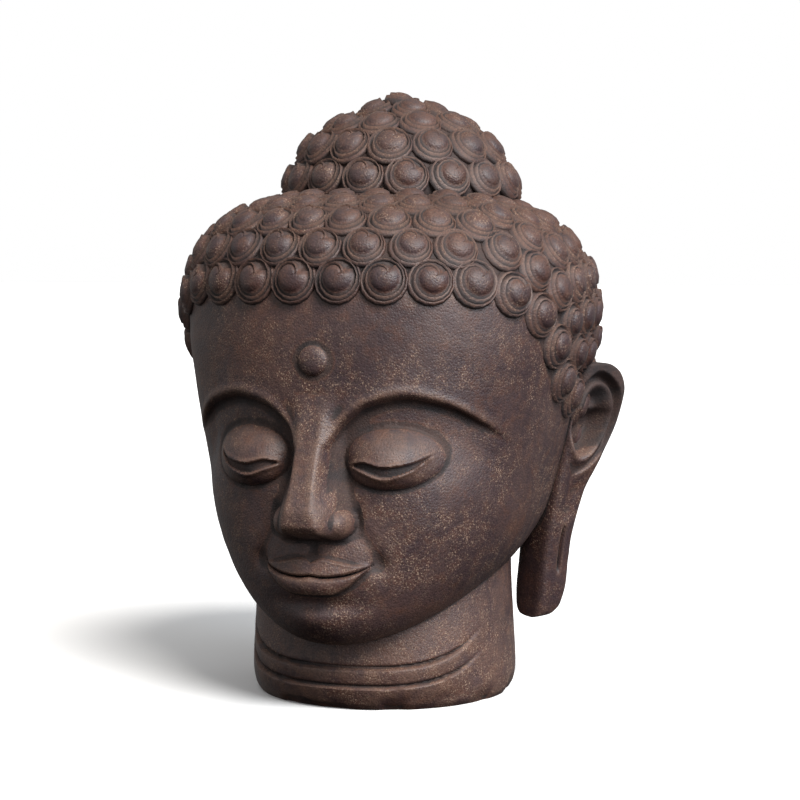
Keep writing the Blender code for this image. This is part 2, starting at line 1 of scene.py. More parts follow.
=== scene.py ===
"""The looks of a garden sculpture: a Buddha head of dark brown stone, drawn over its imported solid.

The head is one block of stone. It is drawn as two pieces, the carved head and the curls of its hair,
because the curls repeat one snail shell. Both are worked out in fingers, the unit of the old carving
canons, from the same named sizes as the solid. The face looks along -Y and +Z is up.
"""

import math
from itertools import product

import bmesh
import bpy
import numpy as np
from bpy.props import FloatProperty, FloatVectorProperty, IntProperty, PointerProperty
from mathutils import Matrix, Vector
from mathutils.bvhtree import BVHTree


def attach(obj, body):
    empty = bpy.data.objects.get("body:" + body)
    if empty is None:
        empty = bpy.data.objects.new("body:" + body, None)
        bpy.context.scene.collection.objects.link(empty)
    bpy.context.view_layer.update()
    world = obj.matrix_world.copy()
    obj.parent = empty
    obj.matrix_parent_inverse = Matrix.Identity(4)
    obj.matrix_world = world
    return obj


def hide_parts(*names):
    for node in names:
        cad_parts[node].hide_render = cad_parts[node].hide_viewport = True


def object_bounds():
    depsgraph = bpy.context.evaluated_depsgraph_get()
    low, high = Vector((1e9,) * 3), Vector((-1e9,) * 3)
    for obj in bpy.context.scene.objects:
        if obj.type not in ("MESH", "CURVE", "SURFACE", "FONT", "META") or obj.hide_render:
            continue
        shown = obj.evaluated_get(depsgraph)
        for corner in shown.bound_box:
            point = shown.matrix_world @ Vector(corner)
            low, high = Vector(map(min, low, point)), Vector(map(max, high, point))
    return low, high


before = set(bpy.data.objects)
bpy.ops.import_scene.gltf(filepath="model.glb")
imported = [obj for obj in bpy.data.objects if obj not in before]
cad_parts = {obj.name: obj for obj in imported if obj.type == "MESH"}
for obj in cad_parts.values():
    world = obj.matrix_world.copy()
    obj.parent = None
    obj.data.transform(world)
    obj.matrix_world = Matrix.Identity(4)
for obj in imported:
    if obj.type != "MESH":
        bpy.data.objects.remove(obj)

CAD_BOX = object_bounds()
SOLID = "buddha_head"
BODY = "root"

bl_info = {
    "name": "Stone head with snail-shell curls",
    "version": (1, 0, 0),
    "blender": (4, 5, 0),
    "location": "3D View > Sidebar > Stone Head",
    "description": "Carves a weathered stone head, sets its curls and lights it",
    "category": "Add Mesh",
}

# The canon, in fingers: the neck up to the chin, each third of the face, the hair and the topknot.
CHIN = 2.3
FACE_THIRD = 3.8
HAIR_RISE = 3.4
TOPKNOT_RISE = 3.9
CANON = CHIN + 3 * FACE_THIRD + HAIR_RISE + TOPKNOT_RISE

# Landmarks, in fingers above the base.
NOSE_BASE = CHIN + FACE_THIRD
MOUTH = NOSE_BASE - FACE_THIRD / 3
BROW = NOSE_BASE + FACE_THIRD
EYE_LEVEL = BROW - FACE_THIRD / 3
HAIRLINE = BROW + FACE_THIRD
CROWN = HAIRLINE + HAIR_RISE

# Skull sections: height, half width, y of the front, y of the back.
SKULL = [
    (CHIN - 0.05, 0.00, -4.70, -4.70),
    (CHIN + 0.02, 0.95, -5.45, -3.60),
    (CHIN + 0.35, 2.05, -6.00, -1.80),
    (CHIN + 1.00, 3.25, -6.35, 0.60),
    (CHIN + 2.00, 4.35, -6.55, 3.20),
    (CHIN + 3.00, 5.05, -6.65, 5.00),
    (NOSE_BASE + 0.2, 5.50, -6.72, 6.10),
    (NOSE_BASE + 1.7, 5.90, -6.80, 7.00),
    (BROW - 0.6, 6.25, -6.86, 7.55),
    (BROW + 0.9, 6.55, -6.92, 7.90),
    (BROW + 2.4, 6.80, -6.92, 8.05),
    (HAIRLINE - 0.2, 6.84, -6.85, 8.05),
    (HAIRLINE + 0.9, 6.62, -6.62, 7.75),
    (HAIRLINE + 1.7, 6.20, -6.25, 7.10),
    (CROWN - 1.0, 5.50, -5.65, 6.15),
    (CROWN - 0.5, 4.55, -4.75, 5.05),
    (CROWN - 0.15, 3.00, -3.10, 3.40),
    (CROWN, 0.00, 0.20, 0.20),
]
SKULL_SQUARENESS = 2.25

# Topknot sections: height, radius. Its axis stands well behind the middle of the neck.
TOPKNOT = [
    (CROWN - 1.1, 0.00),
    (CROWN - 0.9, 3.30),
    (CROWN - 0.1, 3.86),
    (CROWN + 0.4, 3.90),
    (CROWN + 1.1, 3.62),
    (CROWN + 1.8, 3.20),
    (CROWN + 2.4, 2.46),
    (CROWN + 2.8, 1.68),
    (CROWN + 3.18, 0.80),
    (CROWN + 3.38, 0.00),
]
TOPKNOT_Y = 1.4
TOPKNOT_FOOT = 3.9

# Neck sections: height, radius. The column starts below the base, where the flat cut takes it off.
NECK = [
    (-1.2, 0.00),
    (-1.0, 2.80),
    (-0.3, 4.10),
    (0.00, 4.38),
    (0.25, 4.54),
    (0.80, 4.62),
    (2.20, 4.56),
    (4.50, 4.45),
    (NOSE_BASE + 0.9, 4.45),
    (NOSE_BASE + 1.9, 0.00),
]
NECK_Y = -0.3
# Neck folds: height at the throat and how steeply they rise to the sides.
NECK_FOLDS = [(0.85, 2.8), (1.47, 3.2)]
FOLD_DEPTH = 0.10
FOLD_ROLL = 0.15

# Ear sections: height, width from the cheek to the rim. The root is where it leaves the cheek.
EAR = [
    (CHIN - 0.02, 0.00),
    (CHIN + 0.06, 0.70),
    (CHIN + 0.4, 1.15),
    (CHIN + 1.3, 1.35),
    (CHIN + 2.7, 1.35),
    (NOSE_BASE + 0.4, 1.50),
    (NOSE_BASE + 1.9, 1.90),
    (BROW - 0.6, 2.35),
    (BROW + 0.4, 2.50),
    (BROW + 1.1, 2.10),
    (BROW + 1.45, 1.25),
    (BROW + 1.55, 0.00),
]
EAR_ROOT = [
    (CHIN - 0.02, 4.75, 1.90),
    (CHIN + 2.7, 5.10, 1.65),
    (NOSE_BASE + 1.4, 5.65, 1.50),
    (BROW - 0.4, 6.10, 1.50),
    (BROW + 1.55, 6.35, 1.70),
]
EAR_FLARE = math.radians(27)
EAR_THICKNESS = 1.15
EAR_STAND = 0.42

# The brow, the lids and the lips as curves: distance from the middle of the face, height.
EYE_X = 2.45
BROW_ARC = [
    (0.55, BROW - 0.75),
    (0.95, BROW - 0.1),
    (1.8, BROW + 0.55),
    (2.9, BROW + 0.8),
    (4.0, BROW + 0.55),
    (5.0, BROW - 0.1),
    (5.8, BROW - 1.0),
]
UPPER_LID = [
    (1.22, EYE_LEVEL - 0.22),
    (1.7, EYE_LEVEL - 0.12),
    (2.4, EYE_LEVEL - 0.26),
    (3.1, EYE_LEVEL - 0.16),
    (3.75, EYE_LEVEL + 0.14),
]
LOWER_LID = [
    (1.22, EYE_LEVEL - 0.24),
    (1.7, EYE_LEVEL - 0.40),
    (2.4, EYE_LEVEL - 0.62),
    (3.1, EYE_LEVEL - 0.42),
    (3.75, EYE_LEVEL + 0.10),
]
# The ridge of the nose: height, how far it stands out.
NOSE_RIDGE = [
    (NOSE_BASE - 0.20, 0.0),
    (NOSE_BASE - 0.08, 0.42),
    (NOSE_BASE + 0.04, 0.98),
    (NOSE_BASE + 0.22, 1.36),
    (NOSE_BASE + 0.48, 1.56),
    (NOSE_BASE + 0.80, 1.58),
    (NOSE_BASE + 1.4, 1.36),
    (NOSE_BASE + 2.3, 0.95),
    (NOSE_BASE + 3.0, 0.62),
    (NOSE_BASE + 3.7, 0.34),
    (NOSE_BASE + 4.6, 0.0),
]
LIP_HALF_WIDTH = 1.85
MOUTH_LINE = [
    (0.0, MOUTH),
    (0.45, MOUTH - 0.05),
    (1.0, MOUTH),
    (1.5, MOUTH + 0.14),
    (LIP_HALF_WIDTH, MOUTH + 0.32),
]
UPPER_LIP = [
    (0.0, MOUTH + 0.42),
    (0.38, MOUTH + 0.55),
    (0.9, MOUTH + 0.45),
    (1.4, MOUTH + 0.36),
    (LIP_HALF_WIDTH, MOUTH + 0.34),
]
LOWER_LIP = [
    (0.0, MOUTH - 0.66),
    (0.6, MOUTH - 0.64),
    (1.15, MOUTH - 0.4),
    (1.6, MOUTH + 0.02),
    (LIP_HALF_WIDTH, MOUTH + 0.30),
]
URNA_HEIGHT = BROW + 1.85
URNA_RADIUS = 0.50

# Curls: their spacing, the spacing of their rows as a share of it, and how deep they are sunk.
CURL_PITCH = 1.47
ROW_SPACING = 0.78
CURL_SINK = 0.30
# The least and the largest radius of a curl, and its share of the gap to its neighbours.
CURL_RADII = (0.47 * CURL_PITCH, 0.60 * CURL_PITCH)
GAP_FILLED = 0.565
NEIGHBOURS = 4
# The edge of the hair: degrees round from the face, height.
HAIR_EDGE = [
    (0, HAIRLINE - 0.1),
    (40, HAIRLINE - 0.2),
    (52, HAIRLINE - 0.6),
    (60, HAIRLINE - 1.2),
    (67, HAIRLINE - 2.1),
    (74, HAIRLINE - 3.2),
    (82, HAIRLINE - 3.8),
    (92, HAIRLINE - 4.1),
    (102, HAIRLINE - 4.5),
    (116, HAIRLINE - 7.0),
    (135, HAIRLINE - 8.1),
    (180, HAIRLINE - 8.4),
]

# One curl, seen from outside: how far its ridge stands from the middle at each turn of its winding.
RIDGE_WINDING = [
    (0, 0.26),
    (0.10, 0.42),
    (0.20, 0.59),
    (0.30, 0.69),
    (0.5, 0.735),
    (1.0, 0.815),
    (1.5, 0.90),
    (2.0, 0.96),
]
RIDGE_STRENGTH = [(0, 0.1), (0.12, 0.8), (0.3, 1.0), (1.2, 1.0), (1.6, 0.7), (2.0, 0.3)]
RIDGE_HALF_WIDTH = 0.058
RIDGE_RISE = 0.070
GROOVE_DEPTH = 0.125
HOOK_TURN = math.radians(32)
# The plain curl under its ridge, the ball inside the winding, and how far the ball sits off the middle.
FLANK_HEIGHT = 0.25
FLANK_FULLNESS = 2.3
BALL_RADIUS = 0.72
BALL_RISE = 0.205
BALL_SHIFT = (0.075, 0.06)
BALL_RINGS = (0.82, 0.45)
# How near to the edge row and to the topknot's foot a loose curl may start, as shares of their spacing.
EDGE_ROOM = 0.66
KNOT_ROOM = 0.35
# The curls on the topknot start this far above the crown, in fingers.
KNOT_START = 0.65
# How often and how hard neighbours push each other apart, and the share of their spacing that they keep.
PUSHES = 40
PUSH = 0.25
ELBOW_ROOM = 0.93
# A gap between curls that is this share of their spacing from all of them gets another curl.
WIDEST_GAP = 0.80
MOST_ADDED = 25
SETTLING = 12

# The unevenness of the skin: how strong each wave is, how far across it is in fingers, and its seed. The
# chips round the foot have a width and a seed too.
WAVES = ((0.55, 1.1, 3), (0.30, 0.42, 4), (0.28, 0.19, 5))
CHIPS = (0.9, 6)

# Rows and columns of points in each skin, and the angle from which an edge stays sharp.
NECK_GRID = (190, 260)
TOPKNOT_GRID = (40, 72)
EAR_GRID = (230, 200)
SCALP_GRID = (160, 160)
KNOT_GRID = (60, 90)
SHARP_ANGLE = math.radians(48)

# How far the way up, as the curls on the scalp see it, leans to the back, and a middling curl's height.
HOOK_LEAN = 0.15
MIDDLE_HEIGHT = 0.95

# How far the grains of grit stray from round, in metres, and their two sizes: how many stand in a metre,
# and how large a share of its cell each fills.
GRIT_STRAY = 0.0013
GRIT_SIZES = ((430, 0.40), (760, 0.46))
STRAY_SCALE = 700

# Patterns in the stone: the scale, detail and roughness of each.
CLOUDS = (9, 5, 0.55)
MOTTLE = (70, 5, 0.65)
GRAIN = (520, 3, 0.70)
RUST_PATCHES = (5.5, 4, 0.55)
RUST_FLECKS = (30, 4, 0.55)
STAINS = (42, 3, 0.55)
RUBBING = (60, 4, 0.55)
GRIT_PATCHES = (13, 5, 0.65)
ROUGH_SKIN = (240, 4, 0.65)
PIT_SCALE = 420
# How strongly each layer covers the stone below it.
MOTTLED = 0.40
RUSTY = 0.60
DUSTY = 0.75
RIMMED = 0.50
RUBBED = 0.55
GRITTY = 0.85
# The strength and the height, in metres, of the fine relief.
FINE_STRENGTH = 0.36
FINE_HEIGHT = 0.0009

# How far a point lies below or above its surroundings, in fingers, once it is fully hollow or worn.
HOLLOW_FULL = 0.020
EDGE_FULL = 0.030
# How far round the urna, in its radii, nothing counts as worn, because it is polished dark.
URNA_POLISH = 1.25

# The lamps: name, the setting that holds its strength, its width in degrees, colour and direction.
LAMPS = (
    ("key_light", "key", 28, (1.0, 0.97, 0.93), (-0.76, 0.58, -1.10)),
    ("side_light", "side", 40, (0.80, 0.90, 1.0), (-0.95, 0.35, -0.45)),
)
# How far the floor reaches to each side, in metres, and the width of the camera's film, in millimetres.
FLOOR_REACH = 30.0
FILM_WIDTH = 36

# The least size of a section, in fingers. How close to the ground counts as the foot, and how far the
# uneven skin stays behind the box of the solid, in metres.
SMALL = 1e-4
FLAT = 2e-4
SKIN_MARGIN = 2.5e-4


def step(value, low, high):
    """0 below low, 1 above high, and a smooth S between."""
    share = np.clip((value - low) / (high - low), 0, 1)
    return share * share * (3 - 2 * share)


def bell(value, width):
    """A smooth hump that is 1 at 0 and has faded out at about twice its width."""
    return np.exp(-((value / width) ** 2))


def line(distance, width):
    """A crisp ridge along a curve, width to each side of it."""
    return np.clip(1 - np.abs(distance) / width, 0, 1) ** 1.5


def larger(a, b, blend):
    """The larger of two heights, with a soft join."""
    share = np.clip(0.5 + 0.5 * (a - b) / blend, 0, 1)
    return b + (a - b) * share + blend * share * (1 - share)


def through(points, x, column=1):
    """A smooth curve through points sorted by their first number, read at x. It never overshoots."""
    table = np.asarray(points, float)
    xs, ys = table[:, 0], table[:, column]
    gap = np.diff(xs)
    slope = np.diff(ys) / gap
    before, after = slope[:-1], slope[1:]
    inner = np.where(before * after > 0, 2 * before * after / (before + after + 1e-12), 0)
    tangent = np.concatenate([slope[:1], inner, slope[-1:]])
    x = np.clip(x, xs[0], xs[-1])
    k = np.clip(np.searchsorted(xs, x, side="right") - 1, 0, len(gap) - 1)
    t = (x - xs[k]) / gap[k]
    return (
        ys[k] * (1 + 2 * t) * (1 - t) ** 2
        + tangent[k] * gap[k] * t * (1 - t) ** 2
        + ys[k + 1] * t * t * (3 - 2 * t)
        + tangent[k + 1] * gap[k] * t * t * (t - 1)
    )


def section_at(sections, share):
    """The sections read at shares of the way along their profile, as one array for each column."""
    table = np.asarray(sections, float)
    lengths = np.linalg.norm(np.diff(table, axis=0), axis=1)
    keyed = np.column_stack([np.concatenate([[0], np.cumsum(lengths)]), table])
    travelled = share * keyed[-1, 0]
    return [through(keyed, travelled, column) for column in range(1, keyed.shape[1])]


def brow_and_eye(x, z):
    """The sharp brow with the hollow below it, the ball of the eye and its lids."""
    inside = step(x, 0.35, 0.75) * (1 - step(x, 4.4, 5.8))
    below = through(BROW_ARC, x) - z
    hollow = 0.42 * step(below, 0.0, 0.34) * (1 - step(below, 1.0, 3.0)) * inside
    edge = 0.05 * bell(below + 0.08, 0.16) * inside
    ball_x, ball_z = (x - EYE_X) / 1.55, (z - EYE_LEVEL + 0.02) / 1.02
    ball = 0.62 * np.clip(1 - ball_x**2 - ball_z**2, 0, 1) ** 0.8
    on_eye = step(x, 1.15, 1.35) * (1 - step(x, 3.6, 3.85))
    upper, lower = through(UPPER_LID, x), through(LOWER_LID, x)
    gap = step(upper - z, 0.0, 0.05) * step(z - lower, 0.0, 0.05)
    lids = 0.06 * line(z - upper - 0.05, 0.13) + 0.06 * line(z - lower + 0.05, 0.13)
    return edge - hollow + ball + on_eye * (lids - 0.1 * gap)


def nose(x, z):
    """The straight bridge, the tip and the two wings, with the underside cut back."""
    height = through(NOSE_RIDGE, z)
    top = 0.52 - 0.20 * step(z, NOSE_BASE + 0.6, NOSE_BASE + 2.2)
    foot = 1.34 - 0.34 * step(z, NOSE_BASE + 0.5, NOSE_BASE + 3.0)
    bridge = height * (1 - step(x, top, foot))
    wing_x, wing_z = (x - 0.84) / 0.58, (z - NOSE_BASE - 0.46) / 0.56
    wing = 0.95 * np.sqrt(np.clip(1 - wing_x**2 - wing_z**2, 0, 1))
    crease = 0.10 * bell(x - 1.42, 0.14) * bell(z - NOSE_BASE - 0.55, 0.45)
    nostril = 0.30 * bell(x - 0.50, 0.20) * bell(z - NOSE_BASE, 0.14)
    return larger(bridge, wing, 0.28) - 0.07 - crease - nostril


def mouth(x, z):
    """The full lips with their crisp edge, the groove above them and the smile at the corners."""
    seam, top, bottom = through(MOUTH_LINE, x), through(UPPER_LIP, x), through(LOWER_LIP, x)
    taper = np.clip(1 - (x / (LIP_HALF_WIDTH + 0.03)) ** 2, 0, 1) ** 0.45
    upper = np.clip((z - seam) / (top - seam + 0.02), 0, 1)
    lower = np.clip((seam - z) / (seam - bottom + 0.02), 0, 1)
    on_upper = step(top - z, -0.04, 0.05) * step(z - seam, -0.01, 0.04)
    on_lower = step(z - bottom, -0.04, 0.05) * step(seam - z, -0.01, 0.04)
    lips = on_upper * (0.30 - 0.14 * upper) + on_lower * (0.20 + 0.40 * np.sqrt(lower * (1 - lower)))
    rim = 0.04 * (line(z - top, 0.12) + line(z - bottom, 0.12))
    slit = 0.12 * line(z - seam, 0.12) * step(taper, 0, 0.3)
    muzzle = 0.42 * bell(x, 1.9) * bell(z - MOUTH - 0.1, 1.15)
    between = step(z, MOUTH + 0.5, MOUTH + 0.75) * (1 - step(z, NOSE_BASE, NOSE_BASE + 0.2))
    corner = 0.17 * bell(x - LIP_HALF_WIDTH - 0.15, 0.3) * bell(z - MOUTH - 0.35, 0.35)
    return taper * (lips + rim) - slit + muzzle - 0.10 * bell(x, 0.24) * between - corner


def face_relief(x, z):
    """How far the carved face stands in front of the plain skull, in fingers."""
    x = np.abs(x)
    chin = 0.42 * bell(x, 1.3) * bell(z - CHIN - 0.95, 0.8)
    under_lip = 0.20 * bell(x, 1.2) * bell(z - MOUTH + 1.0, 0.3)
    cheek = 0.22 * bell(x - 3.5, 1.6) * bell(z - NOSE_BASE - 0.6, 1.7)
    laugh = 0.08 * bell(x - 1.5 - 0.45 * (NOSE_BASE + 0.4 - z), 0.3) * bell(z - NOSE_BASE + 0.3, 0.7)
    from_urna = np.hypot(x, z - URNA_HEIGHT) / URNA_RADIUS
    urna = 0.20 * np.sqrt(np.clip(1 - from_urna**2, 0, 1))
    return brow_and_eye(x, z) + nose(x, z) + mouth(x, z) + chin - under_lip + cheek - laugh + urna


def oval(turn, width, front, back):
    """A point of the squarish oval of one skull section. Turn 0 is the face, the half turn the nape."""
    width = np.maximum(width, SMALL)
    depth = np.maximum((back - front) / 2, SMALL)
    power = SKULL_SQUARENESS
    reach = (np.abs(np.sin(turn) / width) ** power + np.abs(np.cos(turn) / depth) ** power) ** (-1 / power)
    return reach * np.sin(turn), (front + back) / 2 - reach * np.cos(turn)


def skull_shape(share, turn):
    """The skull with the face carved on its front. Points are closer together on the face."""
    turn = turn - 0.34 * np.sin(turn)
    height, width, front, back = section_at(SKULL, share)
    x, y = oval(turn, width, front, back)
    on_face = step(np.cos(turn), 0.12, 0.38)
    return x, y - face_relief(x, height) * on_face, height


def neck_shape(share, turn):
    """The column of the neck with its rolled folds, which rise from the throat to the sides."""
    height, radius = section_at(NECK, share)
    fading = 1 - step(np.abs(turn), math.radians(38), math.radians(70))
    relief = 0
    for level, steepness in NECK_FOLDS:
        below = level + steepness * (1 - np.cos(turn)) ** 2 - height
        roll = step(below, 0, 0.12) * (1 - step(below, 0.1, 0.95))
        relief = relief + FOLD_ROLL * roll - FOLD_DEPTH * line(below, 0.09)
    radius = radius + relief * fading * step(radius, 3.5, 4.2)
    return radius * np.sin(turn), NECK_Y - radius * np.cos(turn), height


def topknot_shape(share, turn):
    """The domed topknot under its curls."""
    height, radius = section_at(TOPKNOT, share)
    return radius * np.sin(turn), TOPKNOT_Y - radius * np.cos(turn), height


def ear_relief(across, height):
    """How far the front of the ear stands out: the rim, the fold and hollow with a shelf, the long lobe."""
    ring = np.hypot((across - 0.40) / 0.60, (height - BROW + 0.65) / 2.1)
    off_root = step(across + step(height, BROW - 0.4, BROW + 0.6), 0.3, 0.6)
    upper = step(height, NOSE_BASE + 0.7, NOSE_BASE + 1.9) * off_root
    rim = 0.16 * step(ring, 0.80, 0.90) * upper
    groove = 0.20 * bell(ring - 0.76, 0.06) * upper * step(height + 2 * across, BROW, BROW + 0.9)
    hollow = 0.80 * (1 - step(ring, 0.34, 0.66))
    shelf_rise = (height - BROW + 0.12) / np.where(height > BROW - 0.12, 0.42, 0.20)
    shelf = 0.52 * bell(np.hypot((across - 0.36) / 0.34, shelf_rise), 1)
    slope = 0.40 * step(BROW - 0.6 - height, 0.1, 1.3) * (1 - step(ring, 0.4, 0.8))
    trough = 0.12 * bell(across - 0.5, 0.28) * (1 - upper) * step(height, CHIN + 3.2, CHIN + 4.0)
    slot_height = step(height, CHIN + 1.5, CHIN + 1.9) * (1 - step(height, CHIN + 2.9, CHIN + 3.4))
    slot = 0.22 * bell(across - 0.54, 0.05) * slot_height
    return rim - groove - hollow + shelf * (1 - step(ring, 0.5, 0.75)) + slope - trough - slot


def ear_shape(side):
    """One ear as a slab: carved on its front, plain behind and sunk in the head. Side is 1 or -1."""

    def shape(share, turn):
        height, width = section_at(EAR, share)
        across = (1 - np.cos(turn)) / 2
        edge = np.clip(1 - np.abs(2 * across - 1) ** 7, 0, 1) ** 0.42
        end_round = np.clip(width / 1.4, 0, 1) ** 0.7
        front = EAR_STAND + ear_relief(across, height)
        out = np.where(turn > 0, front, -EAR_THICKNESS) * edge * end_round
        root_x, root_y = through(EAR_ROOT, height, 1), through(EAR_ROOT, height, 2)
        x = root_x + across * width * math.sin(EAR_FLARE) + out * math.cos(EAR_FLARE)
        y = root_y + across * width * math.cos(EAR_FLARE) - out * math.sin(EAR_FLARE)
        return side * x, y, height

    return shape


def hair_edge(angle):
    """Height of the edge of the hair at an angle from the face, in radians."""
    return through(HAIR_EDGE, np.degrees(np.abs(angle)))


def skull_points(heights, angles):
    """Points of the plain skull at heights and at angles from the face."""
    x, y = oval(angles, *(through(SKULL, heights, column) for column in (1, 2, 3)))
    return np.column_stack([x, y, np.broadcast_to(heights, x.shape)])


def run_along(points):
    """Distance travelled along a row of points, at each of them."""
    return np.concatenate([[0], np.cumsum(np.linalg.norm(np.diff(points, axis=0), axis=1))])


def rows_of_curls():
    """Number and height of each row of curls on the skull, evenly apart. Row 0 is on the hairline."""
    heights, _, front, back = section_at(SKULL, np.linspace(0, 1, 600))
    hair = heights > HAIR_EDGE[-1][1]
    heights, half_depth = heights[hair], (back - front)[hair] / 2
    run = run_along(np.column_stack([heights, half_depth]))
    first = np.interp(HAIR_EDGE[0][1] + CURL_PITCH / 2, heights, run)
    spacing = CURL_PITCH * ROW_SPACING
    rows = np.arange(-math.floor(first / spacing), math.floor((run[-1] - first) / spacing) + 1)
    return zip(rows, np.interp(first + rows * spacing, run, heights))


def ring_of_curls(height, stagger):
    """Even places round the skull at one height, counted from the middle of the forehead."""
    fine = np.linspace(-np.pi, np.pi, 721)
    run = run_along(skull_points(height, fine))
    count = round(run[-1] / CURL_PITCH)
    middle = run[len(run) // 2]
    wanted = np.mod(middle + (np.arange(count) + 0.5 * stagger) * run[-1] / count, run[-1])
    angles = np.interp(wanted, run, fine)
    return angles, skull_points(height, angles)


def edge_of_curls():
    """Even places just inside the edge of the hair, all the way round."""
    fine = np.linspace(0, np.pi, 361)
    skull_reach = 6.8
    slope = np.gradient(hair_edge(fine), fine) / skull_reach
    lift = CURL_PITCH / 2 / np.sqrt(1 + slope**2)
    heights, angles = hair_edge(fine) + lift, fine - slope * lift / skull_reach
    run = run_along(skull_points(heights, angles))
    count = round(run[-1] / CURL_PITCH)
    wanted = (np.arange(count) + 0.5) * run[-1] / count
    heights, angles = np.interp(wanted, run, heights), np.interp(wanted, run, angles)
    return np.vstack([skull_points(heights, side * angles) for side in (1, -1)])


def topknot_curls():
    """Rings of curls up the topknot, staggered, with one on its top."""
    heights, radii = section_at(TOPKNOT, np.linspace(0, 1, 400))
    shown = heights > CROWN + KNOT_START
    heights, radii = heights[shown], radii[shown]
    run = run_along(np.column_stack([heights, radii]))
    rings = round(run[-1] / (CURL_PITCH * ROW_SPACING))
    places = [(0.0, TOPKNOT_Y, TOPKNOT[-1][0])]
    for ring in range(rings):
        travelled = ring * run[-1] / rings
        height, radius = np.interp(travelled, run, heights), np.interp(travelled, run, radii)
        count = round(2 * math.pi * radius / CURL_PITCH)
        for k in range(count):
            turn = (k + 0.5 * (ring % 2)) * 2 * math.pi / count
            places.append((radius * math.sin(turn), TOPKNOT_Y - radius * math.cos(turn), height))
    return np.array(places)


def loose_curls(edge):
    """Staggered rings of places inside the edge of the hair and clear of the topknot's foot."""
    loose = []
    for row, height in rows_of_curls():
        angles, points = ring_of_curls(height, (row + 1) % 2)
        for angle, point in zip(angles, points):
            room = np.linalg.norm(edge - point, axis=1).min()
            inside_edge = height > hair_edge(angle) + CURL_PITCH / 2 and room > CURL_PITCH * EDGE_ROOM
            from_knot = math.hypot(point[0], point[1] - TOPKNOT_Y) - TOPKNOT_FOOT
            if inside_edge and from_knot > CURL_PITCH * KNOT_ROOM:
                loose.append(point)
    return np.array(loose)


def shares_by(sections, count, closeness):
    """Shares of the way up a profile for that many rows, closest where closeness is largest."""
    fine = np.linspace(0, 1, 4000)
    crowd = np.cumsum(closeness(section_at(sections, fine)[0]))
    return np.interp(np.linspace(0, 1, count), (crowd - crowd[0]) / (crowd[-1] - crowd[0]), fine)


def skin(name, points, fans, quads):
    """A mesh from points, triangles and quads, turned so that its faces look outwards."""
    corners = points[quads]
    across, up = corners[:, 2] - corners[:, 0], corners[:, 3] - corners[:, 1]
    if (corners[:, 0] * np.cross(across, up)).sum() < 0:
        fans, quads = fans[:, ::-1], quads[:, ::-1]
    mesh = bpy.data.meshes.new(name)
    mesh.vertices.add(len(points))
    mesh.vertices.foreach_set("co", points.astype(np.float32).ravel())
    mesh.loops.add(3 * len(fans) + 4 * len(quads))
    mesh.loops.foreach_set("vertex_index", np.concatenate([fans.ravel(), quads.ravel()]).astype(np.int32))
    mesh.polygons.add(len(fans) + len(quads))
    starts = np.concatenate([3 * np.arange(len(fans)), 3 * len(fans) + 4 * np.arange(len(quads))])
    mesh.polygons.foreach_set("loop_start", starts.astype(np.int32))
    mesh.update(calc_edges=True)
    return mesh


def moulded(name, shares, columns, shape):
    """A closed skin round an upright axis: one row of points for each share, and a pole at each end."""
    turns = np.arange(columns) * 2 * np.pi / columns - np.pi
    share, turn = np.meshgrid(shares[1:-1], turns, indexing="ij")
    rows = np.column_stack([axis.ravel() for axis in shape(share, turn)])
    poles = np.column_stack(shape(np.array([0.0, 1.0]), np.zeros(2)))
    points = np.vstack([rows, poles])
    here = np.arange(len(rows)).reshape(share.shape)
    after = np.roll(here, -1, axis=1)
    quads = np.stack([here[:-1], after[:-1], after[1:], here[1:]], axis=-1).reshape(-1, 4)
    low = np.column_stack([np.full(columns, len(rows)), after[0], here[0]])
    high = np.column_stack([np.full(columns, len(rows) + 1), here[-1], after[-1]])
    return skin(name, points, np.vstack([low, high]), quads)


def numbers_of(items, name, width, kind=np.float32):
    """One row of numbers for each item, such as a point's place or the two ends of an edge."""
    flat = np.empty(width * len(items), kind)
    items.foreach_get(name, flat)
    return flat.reshape(-1, width)


def near_face(height):
    """How close the rows of the skull stand: closest from the chin to the hairline."""
    below_hair = 1 - step(height, HAIRLINE - 0.4, HAIRLINE + 0.6)
    return 0.35 + step(height, CHIN, CHIN + 1) * below_hair


def near_folds(height):
    """How close the rows of the neck stand: closest over its folds."""
    return 0.5 + 1.5 * step(height, -0.6, 0) * (1 - step(height, 4, 5.5))


def skin_of(name, sections, grid, closeness, shape):
    """A closed skin with a grid of rows and columns of points."""
    rows, columns = grid
    return moulded(name, shares_by(sections, rows, closeness), columns, shape)


def skins_of_head(sizes):
    """The closed skins that the head is grown together from."""
    skull = skin_of("skull", SKULL, (sizes.rows, sizes.columns), near_face, skull_shape)
    neck = skin_of("neck", NECK, NECK_GRID, near_folds, neck_shape)
    topknot = skin_of("topknot", TOPKNOT, TOPKNOT_GRID, np.ones_like, topknot_shape)
    ears = [skin_of("ear", EAR, EAR_GRID, np.ones_like, ear_shape(side)) for side in (1, -1)]
    return [skull, neck, topknot, *ears]


def points_of(mesh):
    """The mesh's points as one array."""
    return numbers_of(mesh.vertices, "co", 3).astype(float)


def surface_of(mesh):
    """The mesh as a tree that finds the nearest point of its surface."""
    return BVHTree.FromPolygons([v.co for v in mesh.vertices], [p.vertices[:] for p in mesh.polygons])


def lumps(points, across, seed):
    """Smooth seeded unevenness from -1 to 1, with lumps about that far across."""
    cells = 40
    lattice = np.random.default_rng(seed).uniform(-1, 1, (cells, cells, cells))
    place = points / across
    cell = np.floor(place).astype(int)
    part = place - cell
    part = part * part * (3 - 2 * part)
    total = np.zeros(len(points))
    for corner in product((0, 1), repeat=3):
        weight = np.where(corner, part, 1 - part).prod(axis=1)
        total += weight * lattice[tuple(((cell + corner) % cells).T)]
    return total


